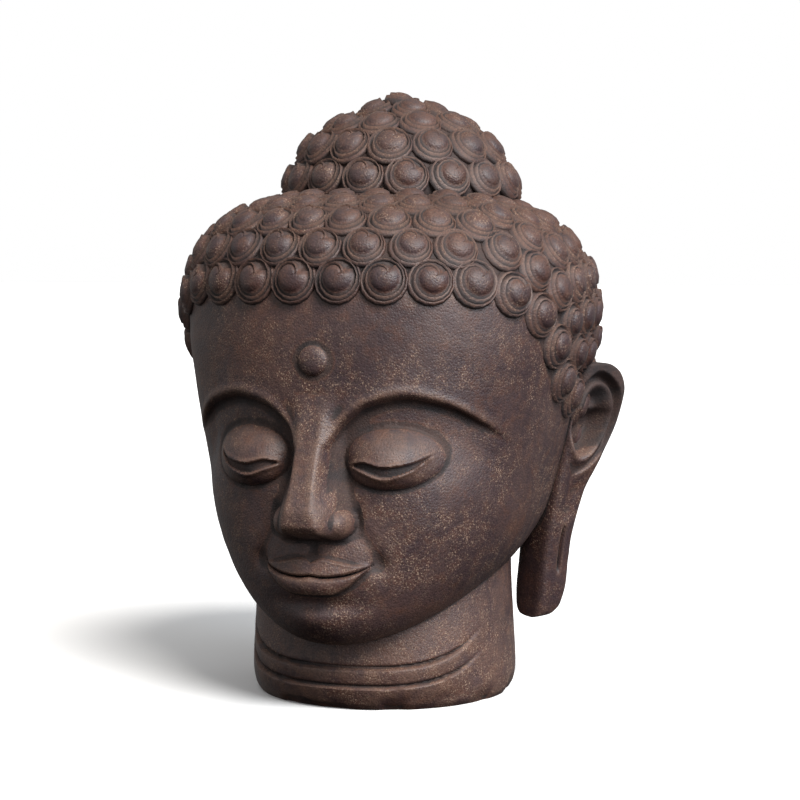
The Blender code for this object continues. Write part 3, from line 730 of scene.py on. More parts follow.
def plain_object(name, mesh):
    """The mesh as an object in the scene, at the origin."""
    item = bpy.data.objects.new(name, mesh)
    bpy.context.scene.collection.objects.link(item)
    return item


def flattened(item, name):
    """The object's mesh with its modifiers applied, under a new name. The object is taken away."""
    finished = item.evaluated_get(bpy.context.evaluated_depsgraph_get())
    mesh = bpy.data.meshes.new_from_object(finished)
    mesh.name = name
    bpy.data.objects.remove(item)
    return mesh


def grown_together(name, meshes):
    """The closed skins as one, with what lies inside another skin taken away."""
    item = plain_object(name, meshes[0])
    others = [plain_object("passing", mesh) for mesh in meshes[1:]]
    for other in others:
        join = item.modifiers.new("join", "BOOLEAN")
        join.operation, join.solver, join.object = "UNION", "MANIFOLD", other
    mesh = flattened(item, name)
    for other in others:
        bpy.data.objects.remove(other)
    return mesh


def kept_on(surface, places):
    """The nearest points of the surface to the places."""
    return np.array([surface.find_nearest(Vector(place))[0] for place in places])


def spread(loose, fixed, surface):
    """The loose places pushed apart from each other and from the fixed ones, and kept on the surface."""
    reach = CURL_PITCH * ELBOW_ROOM
    for _ in range(PUSHES):
        delta = loose[:, None] - np.vstack([loose, fixed])[None]
        distance = np.linalg.norm(delta, axis=2)
        near = (distance > SMALL) & (distance < reach)
        push = np.where(near, (reach - distance) / np.maximum(distance, SMALL), 0)
        loose = kept_on(surface, loose + PUSH * (push[:, :, None] * delta).sum(1))
    return loose


def scalp_grid():
    """Close-set points over all the hair of the skull, and the share of the scalp that each stands for."""
    heights, widths, front, back = section_at(SKULL, np.linspace(0, 1, 260))
    rows = (heights > HAIR_EDGE[-1][1]) & (heights < CROWN - SMALL)
    turns = np.linspace(-np.pi, np.pi, 100, endpoint=False)
    row, turn = [axis.ravel() for axis in np.meshgrid(np.nonzero(rows)[0], turns, indexing="ij")]
    x, y = oval(turn, widths[row], front[row], back[row])
    inside = heights[row] > hair_edge(turn)
    clear = np.hypot(x, y - TOPKNOT_Y) > TOPKNOT_FOOT
    shown = inside & clear
    return np.column_stack([x, y, heights[row]])[shown], (widths + back - front)[row][shown]


def squared_gaps(points, places):
    """The square of the distance from every point to every place."""
    return (points**2).sum(1)[:, None] - 2 * points @ places.T + (places**2).sum(1)


def settled(loose, fixed, grid, shares, surface):
    """Each loose place moved over and over to the middle of the scalp that is nearest to it."""
    for _ in range(SETTLING):
        places = np.vstack([loose, fixed])
        owner = squared_gaps(grid, places).argmin(1)
        held = np.bincount(owner, shares, len(places))[: len(loose), None]
        sums = [np.bincount(owner, shares * grid[:, axis], len(places))[: len(loose)] for axis in range(3)]
        middles = np.where(held > 0, np.column_stack(sums) / np.maximum(held, SMALL), loose)
        loose = kept_on(surface, middles)
    return loose


def without_gaps(loose, fixed, surface):
    """The loose places settled, with one more in every gap that is too wide."""
    grid, shares = scalp_grid()
    loose = settled(loose, fixed, grid, shares, surface)
    for _ in range(MOST_ADDED):
        room = squared_gaps(grid, np.vstack([loose, fixed])).min(1)
        if room.max() < (WIDEST_GAP * CURL_PITCH) ** 2:
            break
        loose = settled(np.vstack([loose, grid[room.argmax()]]), fixed, grid, shares, surface)
    return loose


def curl_places(skull, topknot):
    """Centre, outward direction and radius of every curl, as three arrays."""
    edge, on_knot = edge_of_curls(), topknot_curls()
    fixed = np.vstack([edge, on_knot])
    loose = without_gaps(spread(loose_curls(edge), fixed, skull), fixed, skull)
    places = np.vstack([edge, loose, on_knot])
    gaps = np.linalg.norm(places[:, None] - places[None], axis=2)
    near_gaps = np.sort(gaps, axis=1)[:, 1 : NEIGHBOURS + 1].mean(1)
    radii = np.clip(near_gaps * GAP_FILLED, *CURL_RADII)
    surfaces = [skull] * (len(edge) + len(loose)) + [topknot] * len(on_knot)
    outward = [surface.find_nearest(Vector(place))[1] for surface, place in zip(surfaces, places)]
    return places, np.array(outward), radii


def hollowness(points, normals, edges, passes):
    """How far the smoothed surface stands outside each point: above 0 in a hollow, below 0 on an edge."""
    count = len(points)
    ends = np.concatenate([edges, edges[:, ::-1]])
    links = np.maximum(np.bincount(ends[:, 0], minlength=count), 1)
    smooth = points.copy()
    for _ in range(passes):
        for axis in range(3):
            total = np.bincount(ends[:, 0], smooth[ends[:, 1], axis], count)
            smooth[:, axis] = 0.5 * (smooth[:, axis] + total / links)
    return ((smooth - points) * normals).sum(1)


def mark(mesh, name, values):
    """Keeps one number for each point under a name that the stone's material reads."""
    layer = mesh.attributes.new(name, "FLOAT", "POINT")
    layer.data.foreach_set("value", np.asarray(values, np.float32))


def weathered(mesh, sizes, finger):
    """Works unevenness and the chips of the foot into the skin, and marks its hollows and worn edges."""
    points, normals = points_of(mesh), numbers_of(mesh.vertex_normals, "vector", 3).astype(float)
    angle, height = np.arctan2(points[:, 0], -points[:, 1]), points[:, 2]
    shown = 1 - step(height - hair_edge(angle), 0.3, 1.0)
    wavy = sum(share * lumps(points, across, seed) for share, across, seed in WAVES)
    chipped = step(lumps(points, *CHIPS), 0.30, 0.75) * bell(height - 0.1, 0.35)
    moved = sizes.unevenness / finger * wavy * shown - sizes.chip_depth / finger * chipped
    points = points + normals * moved[:, None]
    mesh.vertices.foreach_set("co", points.astype(np.float32).ravel())
    edges = numbers_of(mesh.edges, "vertices", 2, np.int32)
    hollow = hollowness(points, normals, edges, sizes.wear_passes)
    # The stone's material paints rust where this recess mark is slight and near-black painted shade where it
    # is deep; the mark is full on the scalp under the curls.
    mark(mesh, "recess", np.maximum(np.clip(hollow / HOLLOW_FULL, 0, 1), 1 - shown))
    from_urna = np.hypot(points[:, 0], height - URNA_HEIGHT)
    on_urna = (from_urna < URNA_POLISH * URNA_RADIUS) & (points[:, 1] < 0)
    mark(mesh, "worn", np.clip(-hollow / EDGE_FULL, 0, 1) * shown * ~on_urna)


def floor_block():
    """The block that takes the neck off flat at the ground, as a closed box."""
    side, deep = 8.0, 4.0
    points = np.array(list(product((-side, side), (-side, side), (-deep, 0.0))))
    quads = np.array([(0, 1, 3, 2), (4, 6, 7, 5), (0, 4, 5, 1), (2, 3, 7, 6), (0, 2, 6, 4), (1, 5, 7, 3)])
    return skin("floor_block", points, np.empty((0, 3), int), quads)


def cut_off_flat(block, faces):
    """The block cut off flat at the ground, and then thinned to that many triangles."""
    item = plain_object("passing", block)
    floor = plain_object("floor_block", floor_block())
    cut = item.modifiers.new("flat_cut", "BOOLEAN")
    cut.operation, cut.solver, cut.object = "DIFFERENCE", "MANIFOLD", floor
    lighter = item.modifiers.new("fewer_faces", "DECIMATE")
    lighter.ratio = min(1, faces / sum(len(p.vertices) - 2 for p in block.polygons))
    lighter.use_collapse_triangulate = True
    mesh = flattened(item, "carved_head")
    bpy.data.objects.remove(floor)
    return mesh


def block_shift(finger):
    """How far the solid was moved to bring its box over the origin, read from the tip of its nose."""
    share = np.linspace(0, 1, 800)
    tip = skull_shape(share, np.zeros(share.shape))[1].min() * finger
    return CAD_BOX[0][1] - tip + SKIN_MARGIN


def seated(mesh, finger):
    """The mesh in metres, standing where the solid stands."""
    points = points_of(mesh) * finger
    points[:, 1] += block_shift(finger)
    points[np.abs(points[:, 2]) < FLAT, 2] = 0
    mesh.vertices.foreach_set("co", points.astype(np.float32).ravel())
    mesh.update()
    return mesh


def declared(name, mesh):
    """The finished piece, which stands in for the hidden solid and rides its body."""
    piece = plain_object(name, mesh)
    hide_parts(SOLID)
    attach(piece, BODY)
    return piece


def dome(out):
    """Height of the plain curl at a share of its radius from its middle, in fingers."""
    flank = FLANK_HEIGHT * np.clip(1 - np.clip(out, 0, 1) ** FLANK_FULLNESS, 0, 1) ** 0.5
    return flank + BALL_RISE * np.sqrt(np.clip(1 - (out / BALL_RADIUS) ** 2, 0, 1))


def snail_shell(steps):
    """One curl of unit radius: a low dome with a ridge wound twice round it, which hooks into its crown.

    The ridge and the grooves beside it are lines of points that follow the winding, so the strips of
    faces between them do too. Each line is a list of point numbers.
    """
    points, recess, worn = [], [], []

    def line_of(places, outs, rise, hollow, polish):
        first = len(points)
        for place, out, lift, deep, bright in zip(places, outs, rise, hollow, polish):
            turn = HOOK_TURN + 2 * math.pi * place / steps
            off = 1 - step(out, 0.6, 1.0)
            x = out * math.cos(turn) + off * BALL_SHIFT[0]
            y = out * math.sin(turn) + off * BALL_SHIFT[1]
            points.append((x, y, lift))
            recess.append(deep)
            worn.append(bright)
        return list(range(first, len(points)))

    at = np.arange(2 * steps + 1)
    out, strength = through(RIDGE_WINDING, at / steps), through(RIDGE_STRENGTH, at / steps)
    beyond = np.minimum(out + RIDGE_HALF_WIDTH, (out + 1) / 2)
    within = out - RIDGE_HALF_WIDTH
    none = np.zeros(len(at))
    # The grooves beside the ridge, the rim and the skirt are marked as recess, where the stone's material
    # paints near-black shade; the ridge's crest is marked as worn.
    ridge = line_of(at, out, dome(out) + RIDGE_RISE * strength, none, strength)
    outer = line_of(at, beyond, dome(beyond) - GROOVE_DEPTH * strength, strength, none)
    inner_rise = dome(within) - GROOVE_DEPTH * strength
    core, inner = (
        line_of(at[turn], within[turn], inner_rise[turn], strength[turn], none)
        for turn in (slice(0, steps), slice(steps, 2 * steps + 1))
    )
    round_once = np.arange(steps)
    rim = line_of(round_once, none + 1.0, none - 0.02, none + 1, none)
    skirt = line_of(round_once, none + 0.86, none - CURL_SINK, none + 1, none)

    faces = [tuple(skirt)]
    for j in range(steps):
        after = (j + 1) % steps
        faces.append((ridge[j], ridge[j + 1], outer[j + 1], outer[j]))
        faces.append((outer[j], outer[j + 1], inner[j + 1], inner[j]))
        faces.append((inner[j], inner[j + 1], ridge[steps + j + 1], ridge[steps + j]))
        faces.append((core[j], core[j + 1] if j + 1 < steps else inner[0], ridge[j + 1], ridge[j]))
        faces.append((ridge[steps + j], ridge[steps + j + 1], outer[steps + j + 1], outer[steps + j]))
        faces.append((rim[j], rim[after], skirt[after], skirt[j]))
        if j:
            faces.append((outer[steps + j], outer[steps + j + 1], rim[after], rim[j]))
    end = 2 * steps
    faces.append((outer[steps], outer[steps + 1], rim[1], inner[steps]))
    faces.append((inner[steps], rim[1], outer[end], ridge[end]))
    faces.append((outer[end], rim[1], rim[0]))

    middle = np.array(BALL_SHIFT)
    last = core + [inner[0], outer[0], ridge[0]]
    reach = [np.array(points[number][:2]) - middle for number in last]
    for share in BALL_RINGS:
        ring = list(range(len(points), len(points) + len(reach)))
        points.extend((*(middle + share * flat), float(dome(share * np.hypot(*flat)))) for flat in reach)
        faces.extend((last[k - 1], last[k], ring[k], ring[k - 1]) for k in range(len(ring)))
        last = ring
    faces.extend((last[k - 1], last[k], len(points)) for k in range(len(last)))
    points.append((*middle, float(dome(0.0))))
    unmarked = [0.0] * (len(points) - len(recess))
    return points, faces, recess + unmarked, worn + unmarked


def curl_mesh(steps):
    """The snail shell as a closed mesh with its marks, its faces turned outwards."""
    points, faces, recess, worn = snail_shell(steps)
    mesh = bpy.data.meshes.new("one_curl")
    mesh.from_pydata(points, [], faces)
    form = bmesh.new()
    form.from_mesh(mesh)
    bmesh.ops.recalc_face_normals(form, faces=form.faces)
    form.to_mesh(mesh)
    form.free()
    mark(mesh, "recess", recess)
    mark(mesh, "worn", worn)
    mesh.shade_smooth()
    return mesh


def curl_points(places, outward, radii):
    """A loose point for every curl, which knows its outward and upward direction and its radius."""
    mesh = bpy.data.meshes.new("curl_places")
    mesh.from_pydata([tuple(place) for place in places], [], [])
    upward = np.array([0, HOOK_LEAN, 1.0])
    upward = upward - outward * (outward @ upward)[:, None]
    for name, values in (("outward", outward), ("upward", upward)):
        layer = mesh.attributes.new(name, "FLOAT_VECTOR", "POINT")
        layer.data.foreach_set("vector", values.astype(np.float32).ravel())
    mark(mesh, "radius", radii)
    return mesh


def node(tree, kind, inputs=None, **settings):
    """A new node with its settings. Each input is given a plain value or linked to another node's output."""
    made = tree.nodes.new(kind)
    for name, value in settings.items():
        setattr(made, name, value)
    for name, value in (inputs or {}).items():
        if isinstance(value, bpy.types.NodeSocket):
            tree.links.new(value, made.inputs[name])
        else:
            made.inputs[name].default_value = value
    return made


def mixed(tree, factor, a, b, blend="MIX"):
    """Two colours mixed by a factor."""
    made = node(tree, "ShaderNodeMix", data_type="RGBA", blend_type=blend)
    for socket, value in ((made.inputs[0], factor), (made.inputs[6], a), (made.inputs[7], b)):
        if isinstance(value, bpy.types.NodeSocket):
            tree.links.new(value, socket)
        else:
            socket.default_value = value
    return made.outputs[2]


def combined(tree, operation, *values, clamp=False):
    """A sum, product or other plain reckoning of numbers."""
    made = node(tree, "ShaderNodeMath", dict(enumerate(values)), operation=operation, use_clamp=clamp)
    return made.outputs[0]


def faded(tree, value, low, high):
    """0 below low, 1 above high and a smooth S between. Low may be the larger of the two."""
    ends = {"Value": value, "From Min": low, "From Max": high}
    return node(tree, "ShaderNodeMapRange", ends, interpolation_type="SMOOTHSTEP").outputs[0]


def curl_tree():
    """The node tree that sets one curl on every point, turned a little differently each time."""
    tree = bpy.data.node_groups.new("curls_on_scalp", "GeometryNodeTree")
    tree.is_modifier = True
    for name, kind in (
        ("Geometry", "Geometry"),
        ("Curl", "Object"),
        ("Turn Spread", "Float"),
        ("Size Spread", "Float"),
        ("Seed", "Int"),
        ("Stone", "Material"),
    ):
        tree.interface.new_socket(name, in_out="INPUT", socket_type="NodeSocket" + kind)
    tree.interface.new_socket("Geometry", in_out="OUTPUT", socket_type="NodeSocketGeometry")
    given = node(tree, "NodeGroupInput").outputs

    def named(name, kind):
        read = node(tree, "GeometryNodeInputNamedAttribute", {"Name": name}, data_type=kind)
        return read.outputs["Attribute"]

    def between(spread, middle, seed_step):
        low, high = combined(tree, "SUBTRACT", middle, spread), combined(tree, "ADD", middle, spread)
        ends = {2: low, 3: high, "Seed": combined(tree, "ADD", given["Seed"], seed_step)}
        return node(tree, "FunctionNodeRandomValue", ends, data_type="FLOAT").outputs[1]

    curl = node(tree, "GeometryNodeObjectInfo", {"Object": given["Curl"], "As Instance": True})
    outward = {"Vector": named("outward", "FLOAT_VECTOR")}
    facing = node(tree, "FunctionNodeAlignRotationToVector", outward, axis="Z")
    upright = node(
        tree,
        "FunctionNodeAlignRotationToVector",
        {"Rotation": facing.outputs[0], "Vector": named("upward", "FLOAT_VECTOR")},
        axis="Y",
        pivot_axis="Z",
    )
    twist = node(tree, "ShaderNodeCombineXYZ", {"Z": between(given["Turn Spread"], 0.0, 1)})
    as_turn = node(tree, "FunctionNodeEulerToRotation", {0: twist.outputs[0]})
    turned = node(
        tree,
        "FunctionNodeRotateRotation",
        {"Rotation": upright.outputs[0], "Rotate By": as_turn.outputs[0]},
        rotation_space="LOCAL",
    )
    width = combined(tree, "MULTIPLY", named("radius", "FLOAT"), between(given["Size Spread"], 1.0, 2))
    tall = between(given["Size Spread"], MIDDLE_HEIGHT, 3)
    size = node(tree, "ShaderNodeCombineXYZ", {"X": width, "Y": width, "Z": tall})
    instances = node(
        tree,
        "GeometryNodeInstanceOnPoints",
        {
            "Points": given["Geometry"],
            "Instance": curl.outputs["Geometry"],
            "Rotation": turned.outputs[0],
            "Scale": size.outputs[0],
        },
    )
    toned = node(
        tree,
        "GeometryNodeStoreNamedAttribute",
        {"Geometry": instances.outputs[0], "Name": "tone"},
        data_type="FLOAT",
        domain="INSTANCE",
    )
    tree.links.new(between(given["Size Spread"], 0.0, 4), toned.inputs["Value"])
    real = node(tree, "GeometryNodeRealizeInstances", {"Geometry": toned.outputs[0]})
    paint = {"Geometry": real.outputs[0], "Material": given["Stone"]}
    painted = node(tree, "GeometryNodeSetMaterial", paint)
    node(tree, "NodeGroupOutput", {"Geometry": painted.outputs[0]})
    return tree


def stone_material(finish):
    """Dark brown stone: clouds, rust on its top, painted shade in its hollows and on faces that look up,
    rubbed edges, tan grit and fine pits.
    """
    material = bpy.data.materials.new("weathered_brown_stone")
    material.use_nodes = True
    tree = material.node_tree
    shader = tree.nodes["Principled BSDF"]
    place = node(tree, "ShaderNodeTexCoord").outputs["Object"]

    def cloud(scale, detail, roughness):
        inputs = {"Vector": place, "Scale": scale, "Detail": detail, "Roughness": roughness}
        return node(tree, "ShaderNodeTexNoise", inputs).outputs[0]

    def marked(name):
        return node(tree, "ShaderNodeAttribute", attribute_name=name).outputs["Fac"]

    def product_of(*values):
        total = values[0]
        for value in values[1:]:
            total = combined(tree, "MULTIPLY", total, value)
        return total

    def grit(scale, size, patches):
        cells = node(tree, "ShaderNodeTexVoronoi", {"Vector": jagged, "Scale": scale})
        dots = faded(tree, cells.outputs["Distance"], size, size * 0.5)
        some = node(tree, "ShaderNodeSeparateColor", {0: cells.outputs["Color"]}).outputs[0]
        return product_of(dots, faded(tree, some, 0.3, 0.8), patches)

    strays = node(tree, "ShaderNodeTexNoise", {"Vector": place, "Scale": STRAY_SCALE, "Detail": 2})
    stray_reach = {0: strays.outputs["Color"], 1: (GRIT_STRAY,) * 3}
    astray = node(tree, "ShaderNodeVectorMath", stray_reach, operation="MULTIPLY")
    jagged = node(tree, "ShaderNodeVectorMath", {0: place, 1: astray.outputs[0]}, operation="ADD").outputs[0]

    clouds, mottle, grain = cloud(*CLOUDS), cloud(*MOTTLE), cloud(*GRAIN)
    recess, worn = marked("recess"), marked("worn")
    normal = node(tree, "ShaderNodeNewGeometry").outputs["Normal"]
    upward = node(tree, "ShaderNodeSeparateXYZ", {0: normal}).outputs[2]

    body = mixed(tree, faded(tree, clouds, 0.36, 0.66), (*finish.shade, 1), (*finish.body, 1))
    body = mixed(tree, product_of(faded(tree, mottle, 0.42, 0.7), MOTTLED), body, (*finish.rust, 1))
    flecks = faded(tree, cloud(*RUST_FLECKS), 0.3, 0.6)
    rusty = product_of(faded(tree, cloud(*RUST_PATCHES), 0.5, 0.72), flecks)
    dusty = product_of(faded(tree, upward, 0.15, 1.0), faded(tree, mottle, 0.3, 0.6))
    stained = faded(tree, cloud(*STAINS), 0.34, 0.60)
    rim = product_of(faded(tree, recess, 0.0, 0.4), stained)
    for share, strength in ((rusty, RUSTY), (dusty, DUSTY), (rim, RIMMED)):
        body = mixed(tree, product_of(share, strength), body, (*finish.rust, 1))
    rubbed = product_of(worn, faded(tree, cloud(*RUBBING), 0.3, 0.6))
    body = mixed(tree, product_of(rubbed, RUBBED), body, (*finish.worn, 1))
    patchy = faded(tree, cloud(*GRIT_PATCHES), 0.38, 0.62)
    patches = product_of(patchy, faded(tree, mottle, 0.36, 0.6))
    specks = combined(tree, "MAXIMUM", *(grit(scale, size, patches) for scale, size in GRIT_SIZES))
    body = mixed(tree, product_of(specks, GRITTY), body, (*finish.grit, 1))
    # Painted shade: the colour is mixed towards near black deep in hollows, in the grooves of the curls and
    # on the scalp between them, where shade falls.
    deep = product_of(faded(tree, recess, 0.2, 0.75), combined(tree, "MULTIPLY_ADD", stained, -0.3, 0.95))
    body = mixed(tree, deep, body, (*finish.hollow, 1))
    # The grey that multiplies the colour: the random tone of each curl and the grain, times painted shade
    # that makes faces looking up up to 30 % darker.
    toned = product_of(
        combined(tree, "MULTIPLY_ADD", marked("tone"), 2.0, combined(tree, "MULTIPLY", grain, 2.0)),
        combined(tree, "MULTIPLY_ADD", faded(tree, upward, 0.2, 1.0), -0.3, 1.0),
    )
    tone_and_top_shade = node(tree, "ShaderNodeCombineColor", {0: toned, 1: toned, 2: toned}).outputs[0]
    body = mixed(tree, 1.0, body, tone_and_top_shade, "MULTIPLY")
    tree.links.new(body, shader.inputs["Base Color"])

    smooth = product_of(
        combined(tree, "SUBTRACT", 1.0, recess),
        combined(tree, "MULTIPLY_ADD", clouds, -1.2, 1.4),
        combined(tree, "MULTIPLY_ADD", faded(tree, upward, 0.1, 0.7), -0.9, 1.0),
    )
    rough = combined(tree, "MULTIPLY_ADD", smooth, finish.polish - finish.roughness, finish.roughness)
    rough = combined(tree, "ADD", rough, product_of(specks, 0.25), clamp=True)
    tree.links.new(rough, shader.inputs["Roughness"])
    shader.inputs["Specular IOR Level"].default_value = finish.gloss

    pits = node(tree, "ShaderNodeTexVoronoi", {"Vector": place, "Scale": PIT_SCALE})
    pitted = combined(tree, "MULTIPLY", faded(tree, pits.outputs["Distance"], 0.1, 0.6), 0.5)
    rippled = combined(tree, "MULTIPLY_ADD", cloud(*ROUGH_SKIN), 0.9, grain)
    relief = combined(tree, "ADD", pitted, rippled)
    bump_inputs = {"Height": relief, "Strength": FINE_STRENGTH, "Distance": FINE_HEIGHT}
    bump = node(tree, "ShaderNodeBump", bump_inputs)
    tree.links.new(bump.outputs[0], shader.inputs["Normal"])
    return material


def stone(context):
    """The one stone material of the head, made the first time it is asked for."""
    return bpy.data.materials.get("weathered_brown_stone") or stone_material(context.scene.stone_finish)


class HeadSizes(bpy.types.PropertyGroup):
    """Sizes of the carved head."""

    height: FloatProperty(
        name="Height", description="From the foot of the neck to the top of the topknot",
        default=0.600, min=0.1, unit="LENGTH",
    )
    rows: IntProperty(name="Rows", description="Rows of points up the skull", default=460, min=40)
    columns: IntProperty(name="Columns", description="Points round the skull", default=540, min=40)
    unevenness: FloatProperty(
        name="Unevenness", description="How far the hand-cut skin strays from its form",
        default=0.00042, min=0, unit="LENGTH",
    )
    chip_depth: FloatProperty(
        name="Chip Depth", description="Depth of the chips round the foot of the neck",
        default=0.0022, min=0, unit="LENGTH",
    )
    wear_passes: IntProperty(
        name="Wear Passes", description="Reach of the marks in hollows and on edges", default=40,
    )
    faces: IntProperty(
        name="Faces", description="Triangles left in the finished head", default=188000, min=1000,
    )


class CurlSizes(bpy.types.PropertyGroup):
    """How the curls are wound and set."""

    steps: IntProperty(
        name="Steps", description="Points in one turn of the ridge", default=16, min=8, max=40,
    )
    turn_spread: FloatProperty(
        name="Turn Spread", description="How far a curl may be turned to either side",
        default=math.radians(20), subtype="ANGLE",
    )
    size_spread: FloatProperty(
        name="Size Spread", description="How much larger or smaller a curl may be",
        default=0.035, subtype="FACTOR",
    )
    seed: IntProperty(name="Seed", description="Another seed turns the curls differently", default=4)


class StoneFinish(bpy.types.PropertyGroup):
    """Colours and gloss of the stone."""

    shade: FloatVectorProperty(
        name="Shade", description="The darkest, purple-brown clouds",
        default=(0.033, 0.016, 0.018), subtype="COLOR",
    )
    body: FloatVectorProperty(
        name="Body", description="The common brown of the stone",
        default=(0.058, 0.030, 0.028), subtype="COLOR",
    )
    rust: FloatVectorProperty(
        name="Rust", description="Rust-brown in hollows and on top",
        default=(0.100, 0.036, 0.017), subtype="COLOR",
    )
    # Painted shade: near black put deep in the carving, in the curls' grooves and between the curls, where
    # shade falls.
    hollow: FloatVectorProperty(
        name="Hollow", description="Almost black, deep in the carving",
        default=(0.012, 0.006, 0.006), subtype="COLOR",
    )
    worn: FloatVectorProperty(
        name="Worn", description="Tan-brown where it is rubbed",
        default=(0.135, 0.074, 0.050), subtype="COLOR",
    )
    grit: FloatVectorProperty(
        name="Grit", description="Tan grains in the stone",
        default=(0.300, 0.205, 0.145), subtype="COLOR",
    )
    roughness: FloatProperty(
        name="Roughness", description="Of the plain stone", default=0.78, subtype="FACTOR",
    )
    gloss: FloatProperty(
        name="Gloss", description="Strength of the sheen", default=0.65, subtype="FACTOR",
    )
    polish: FloatProperty(
        name="Polish", description="Roughness of the smooth skin", default=0.44, subtype="FACTOR",
    )


class Studio(bpy.types.PropertyGroup):
    """The camera, the lights and the floor."""

    turn: FloatProperty(
        name="Camera Turn", description="Round from the face to its left",
        default=math.radians(20), subtype="ANGLE",
    )
    rise: FloatProperty(
        name="Camera Rise", description="Above the level",
        default=math.radians(3.9), subtype="ANGLE",
    )
    distance: FloatProperty(name="Camera Distance", description="To the head", default=2.1, unit="LENGTH")
    aim: FloatVectorProperty(
        name="Aim", description="Where the camera looks",
        default=(0.0057, 0.0177, 0.2857), subtype="TRANSLATION",
    )
    lens: FloatProperty(name="Lens", description="Focal length in millimetres", default=93.1)
    sky: FloatProperty(name="Sky", description="Strength of the light from above", default=0.55)
    key: FloatProperty(
        name="Key Light", description="Strength of the soft light from the upper right", default=4.6,
    )
    side: FloatProperty(
        name="Side Light", description="Strength of the cool light from the side", default=2.0,
    )
    floor_colour: FloatVectorProperty(
        name="Floor", description="Colour of the floor",
        default=(0.92, 0.92, 0.92), subtype="COLOR",
    )


class STONEHEAD_OT_carve(bpy.types.Operator):
    """Carve the head: skull and face, neck, topknot and ears as one skin"""

    bl_idname = "stonehead.carve"
    bl_label = "Carve Head"

    def execute(self, context):
        sizes = context.scene.head_sizes
        finger = sizes.height / CANON

        block = grown_together("carved_head", skins_of_head(sizes))
        weathered(block, sizes, finger)
        mesh = seated(cut_off_flat(block, sizes.faces), finger)
        if min(v.co.z for v in mesh.vertices) < -FLAT or len(mesh.polygons) < sizes.faces / 2:
            raise RuntimeError("the skins of the head could not be joined and cut off flat")
        mesh.shade_smooth()
        mesh.set_sharp_from_angle(angle=SHARP_ANGLE)
        mesh.materials.clear()
        mesh.materials.append(stone(context))
        declared("carved_head", mesh)
        return {"FINISHED"}


class STONEHEAD_OT_set_curls(bpy.types.Operator):
    """Set the snail-shell curls in rows over the scalp and round the topknot"""

    bl_idname = "stonehead.set_curls"
    bl_label = "Set Curls"

    def execute(self, context):
        sizes = context.scene.curl_sizes
        finger = context.scene.head_sizes.height / CANON
        scalp_rows, scalp_columns = SCALP_GRID
        knot_rows, knot_columns = KNOT_GRID
        skull = surface_of(moulded("scalp", np.linspace(0, 1, scalp_rows), scalp_columns, skull_shape))
        topknot = surface_of(moulded("knot", np.linspace(0, 1, knot_rows), knot_columns, topknot_shape))
        places, outward, radii = curl_places(skull, topknot)
        curl = plain_object("one_curl", curl_mesh(sizes.steps))
        item = plain_object("curl_places", curl_points(places, outward, radii))
        setting = item.modifiers.new("curls", "NODES")
        setting.node_group = curl_tree()
        given = {
            "Curl": curl,
            "Turn Spread": sizes.turn_spread,
            "Size Spread": sizes.size_spread,
            "Seed": sizes.seed,
            "Stone": stone(context),
        }
        for socket in setting.node_group.interface.items_tree:
            if socket.in_out == "INPUT" and socket.name in given:
                setting[socket.identifier] = given[socket.name]
        mesh = flattened(item, "hair_curls")
        bpy.data.objects.remove(curl)
        if len(mesh.polygons) < len(places):
            raise RuntimeError("the curls did not come out of their node tree")
        declared("hair_curls", seated(mesh, finger))
        return {"FINISHED"}


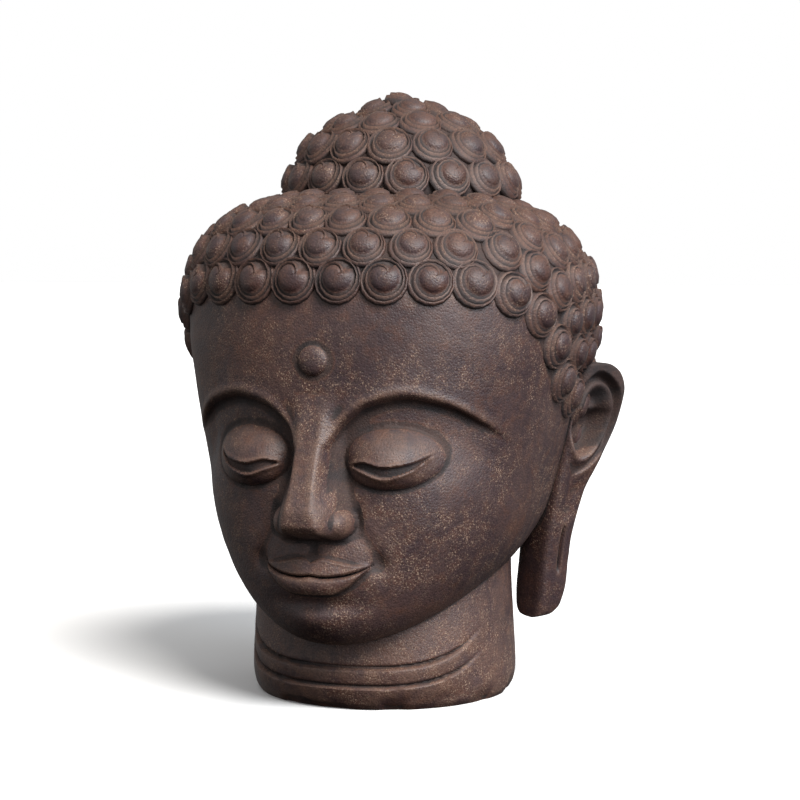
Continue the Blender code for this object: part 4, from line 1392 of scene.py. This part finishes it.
class STONEHEAD_OT_light_stage(bpy.types.Operator):
    """Lay the floor, hang the lights and place the camera"""

    bl_idname = "stonehead.light_stage"
    bl_label = "Light Stage"

    def execute(self, context):
        scene, studio = context.scene, context.scene.studio
        side = FLOOR_REACH
        corners = np.array([(-side, -side, 0), (side, -side, 0), (side, side, 0), (-side, side, 0)])
        sheet = skin("pale_floor", corners, np.empty((0, 3), int), np.array([[0, 1, 2, 3]]))
        floor = plain_object("pale_floor", sheet)
        paint = bpy.data.materials.new("pale_floor")
        paint.use_nodes = True
        shader = paint.node_tree.nodes["Principled BSDF"]
        shader.inputs["Base Color"].default_value = (*studio.floor_colour, 1)
        shader.inputs["Roughness"].default_value = 0.9
        floor.data.materials.append(paint)
        floor.visible_diffuse = floor.visible_glossy = False

        world = scene.world or bpy.data.worlds.new("studio")
        scene.world = world
        world.use_nodes = True
        tree = world.node_tree
        seen = node(tree, "ShaderNodeLightPath").outputs["Is Camera Ray"]
        way = node(tree, "ShaderNodeSeparateXYZ", {0: node(tree, "ShaderNodeTexCoord").outputs["Generated"]})
        glow = combined(tree, "MULTIPLY", faded(tree, way.outputs[2], -0.9, 0.7), studio.sky)
        strength = combined(tree, "MAXIMUM", seen, glow)
        tree.nodes["Background"].inputs["Color"].default_value = (1, 1, 1, 1)
        tree.links.new(strength, tree.nodes["Background"].inputs["Strength"])

        aim = Vector(studio.aim)
        for name, strength, spread, colour, direction in LAMPS:
            lamp = bpy.data.lights.new(name, "SUN")
            lamp.energy, lamp.angle, lamp.color = getattr(studio, strength), math.radians(spread), colour
            light = bpy.data.objects.new(name, lamp)
            light.rotation_euler = Vector(direction).to_track_quat("-Z", "Y").to_euler()
            scene.collection.objects.link(light)

        lens = bpy.data.cameras.new("camera")
        lens.lens, lens.sensor_width = studio.lens, FILM_WIDTH
        camera = bpy.data.objects.new("camera", lens)
        level = studio.distance * math.cos(studio.rise)
        rise = studio.distance * math.sin(studio.rise)
        back = Vector((level * math.sin(studio.turn), -level * math.cos(studio.turn), rise))
        camera.location = aim + back
        camera.rotation_euler = (-back).to_track_quat("-Z", "Y").to_euler()
        scene.collection.objects.link(camera)
        scene.camera = camera
        scene.view_settings.view_transform = "Standard"
        return {"FINISHED"}


class STONEHEAD_PT_panel(bpy.types.Panel):
    """Sizes, colours and steps of the stone head"""

    bl_label = "Stone Head"
    bl_space_type = "VIEW_3D"
    bl_region_type = "UI"
    bl_category = "Stone Head"

    def draw(self, context):
        layout = self.layout
        for group in (getattr(context.scene, name) for name in GROUPS):
            box = layout.box()
            for name in group.bl_rna.properties.keys():
                if name not in ("rna_type", "name"):
                    box.prop(group, name)
        for maker in (STONEHEAD_OT_carve, STONEHEAD_OT_set_curls, STONEHEAD_OT_light_stage):
            layout.operator(maker.bl_idname)


CLASSES = (
    HeadSizes,
    CurlSizes,
    StoneFinish,
    Studio,
    STONEHEAD_OT_carve,
    STONEHEAD_OT_set_curls,
    STONEHEAD_OT_light_stage,
    STONEHEAD_PT_panel,
)
GROUPS = {"head_sizes": HeadSizes, "curl_sizes": CurlSizes, "stone_finish": StoneFinish, "studio": Studio}


def register():
    for kind in CLASSES:
        bpy.utils.register_class(kind)
    for name, group in GROUPS.items():
        setattr(bpy.types.Scene, name, PointerProperty(type=group))


def unregister():
    for name in GROUPS:
        delattr(bpy.types.Scene, name)
    for kind in reversed(CLASSES):
        bpy.utils.unregister_class(kind)


def main():
    register()
    bpy.ops.stonehead.carve()
    bpy.ops.stonehead.set_curls()
    bpy.ops.stonehead.light_stage()


if __name__ == "__main__":
    main()
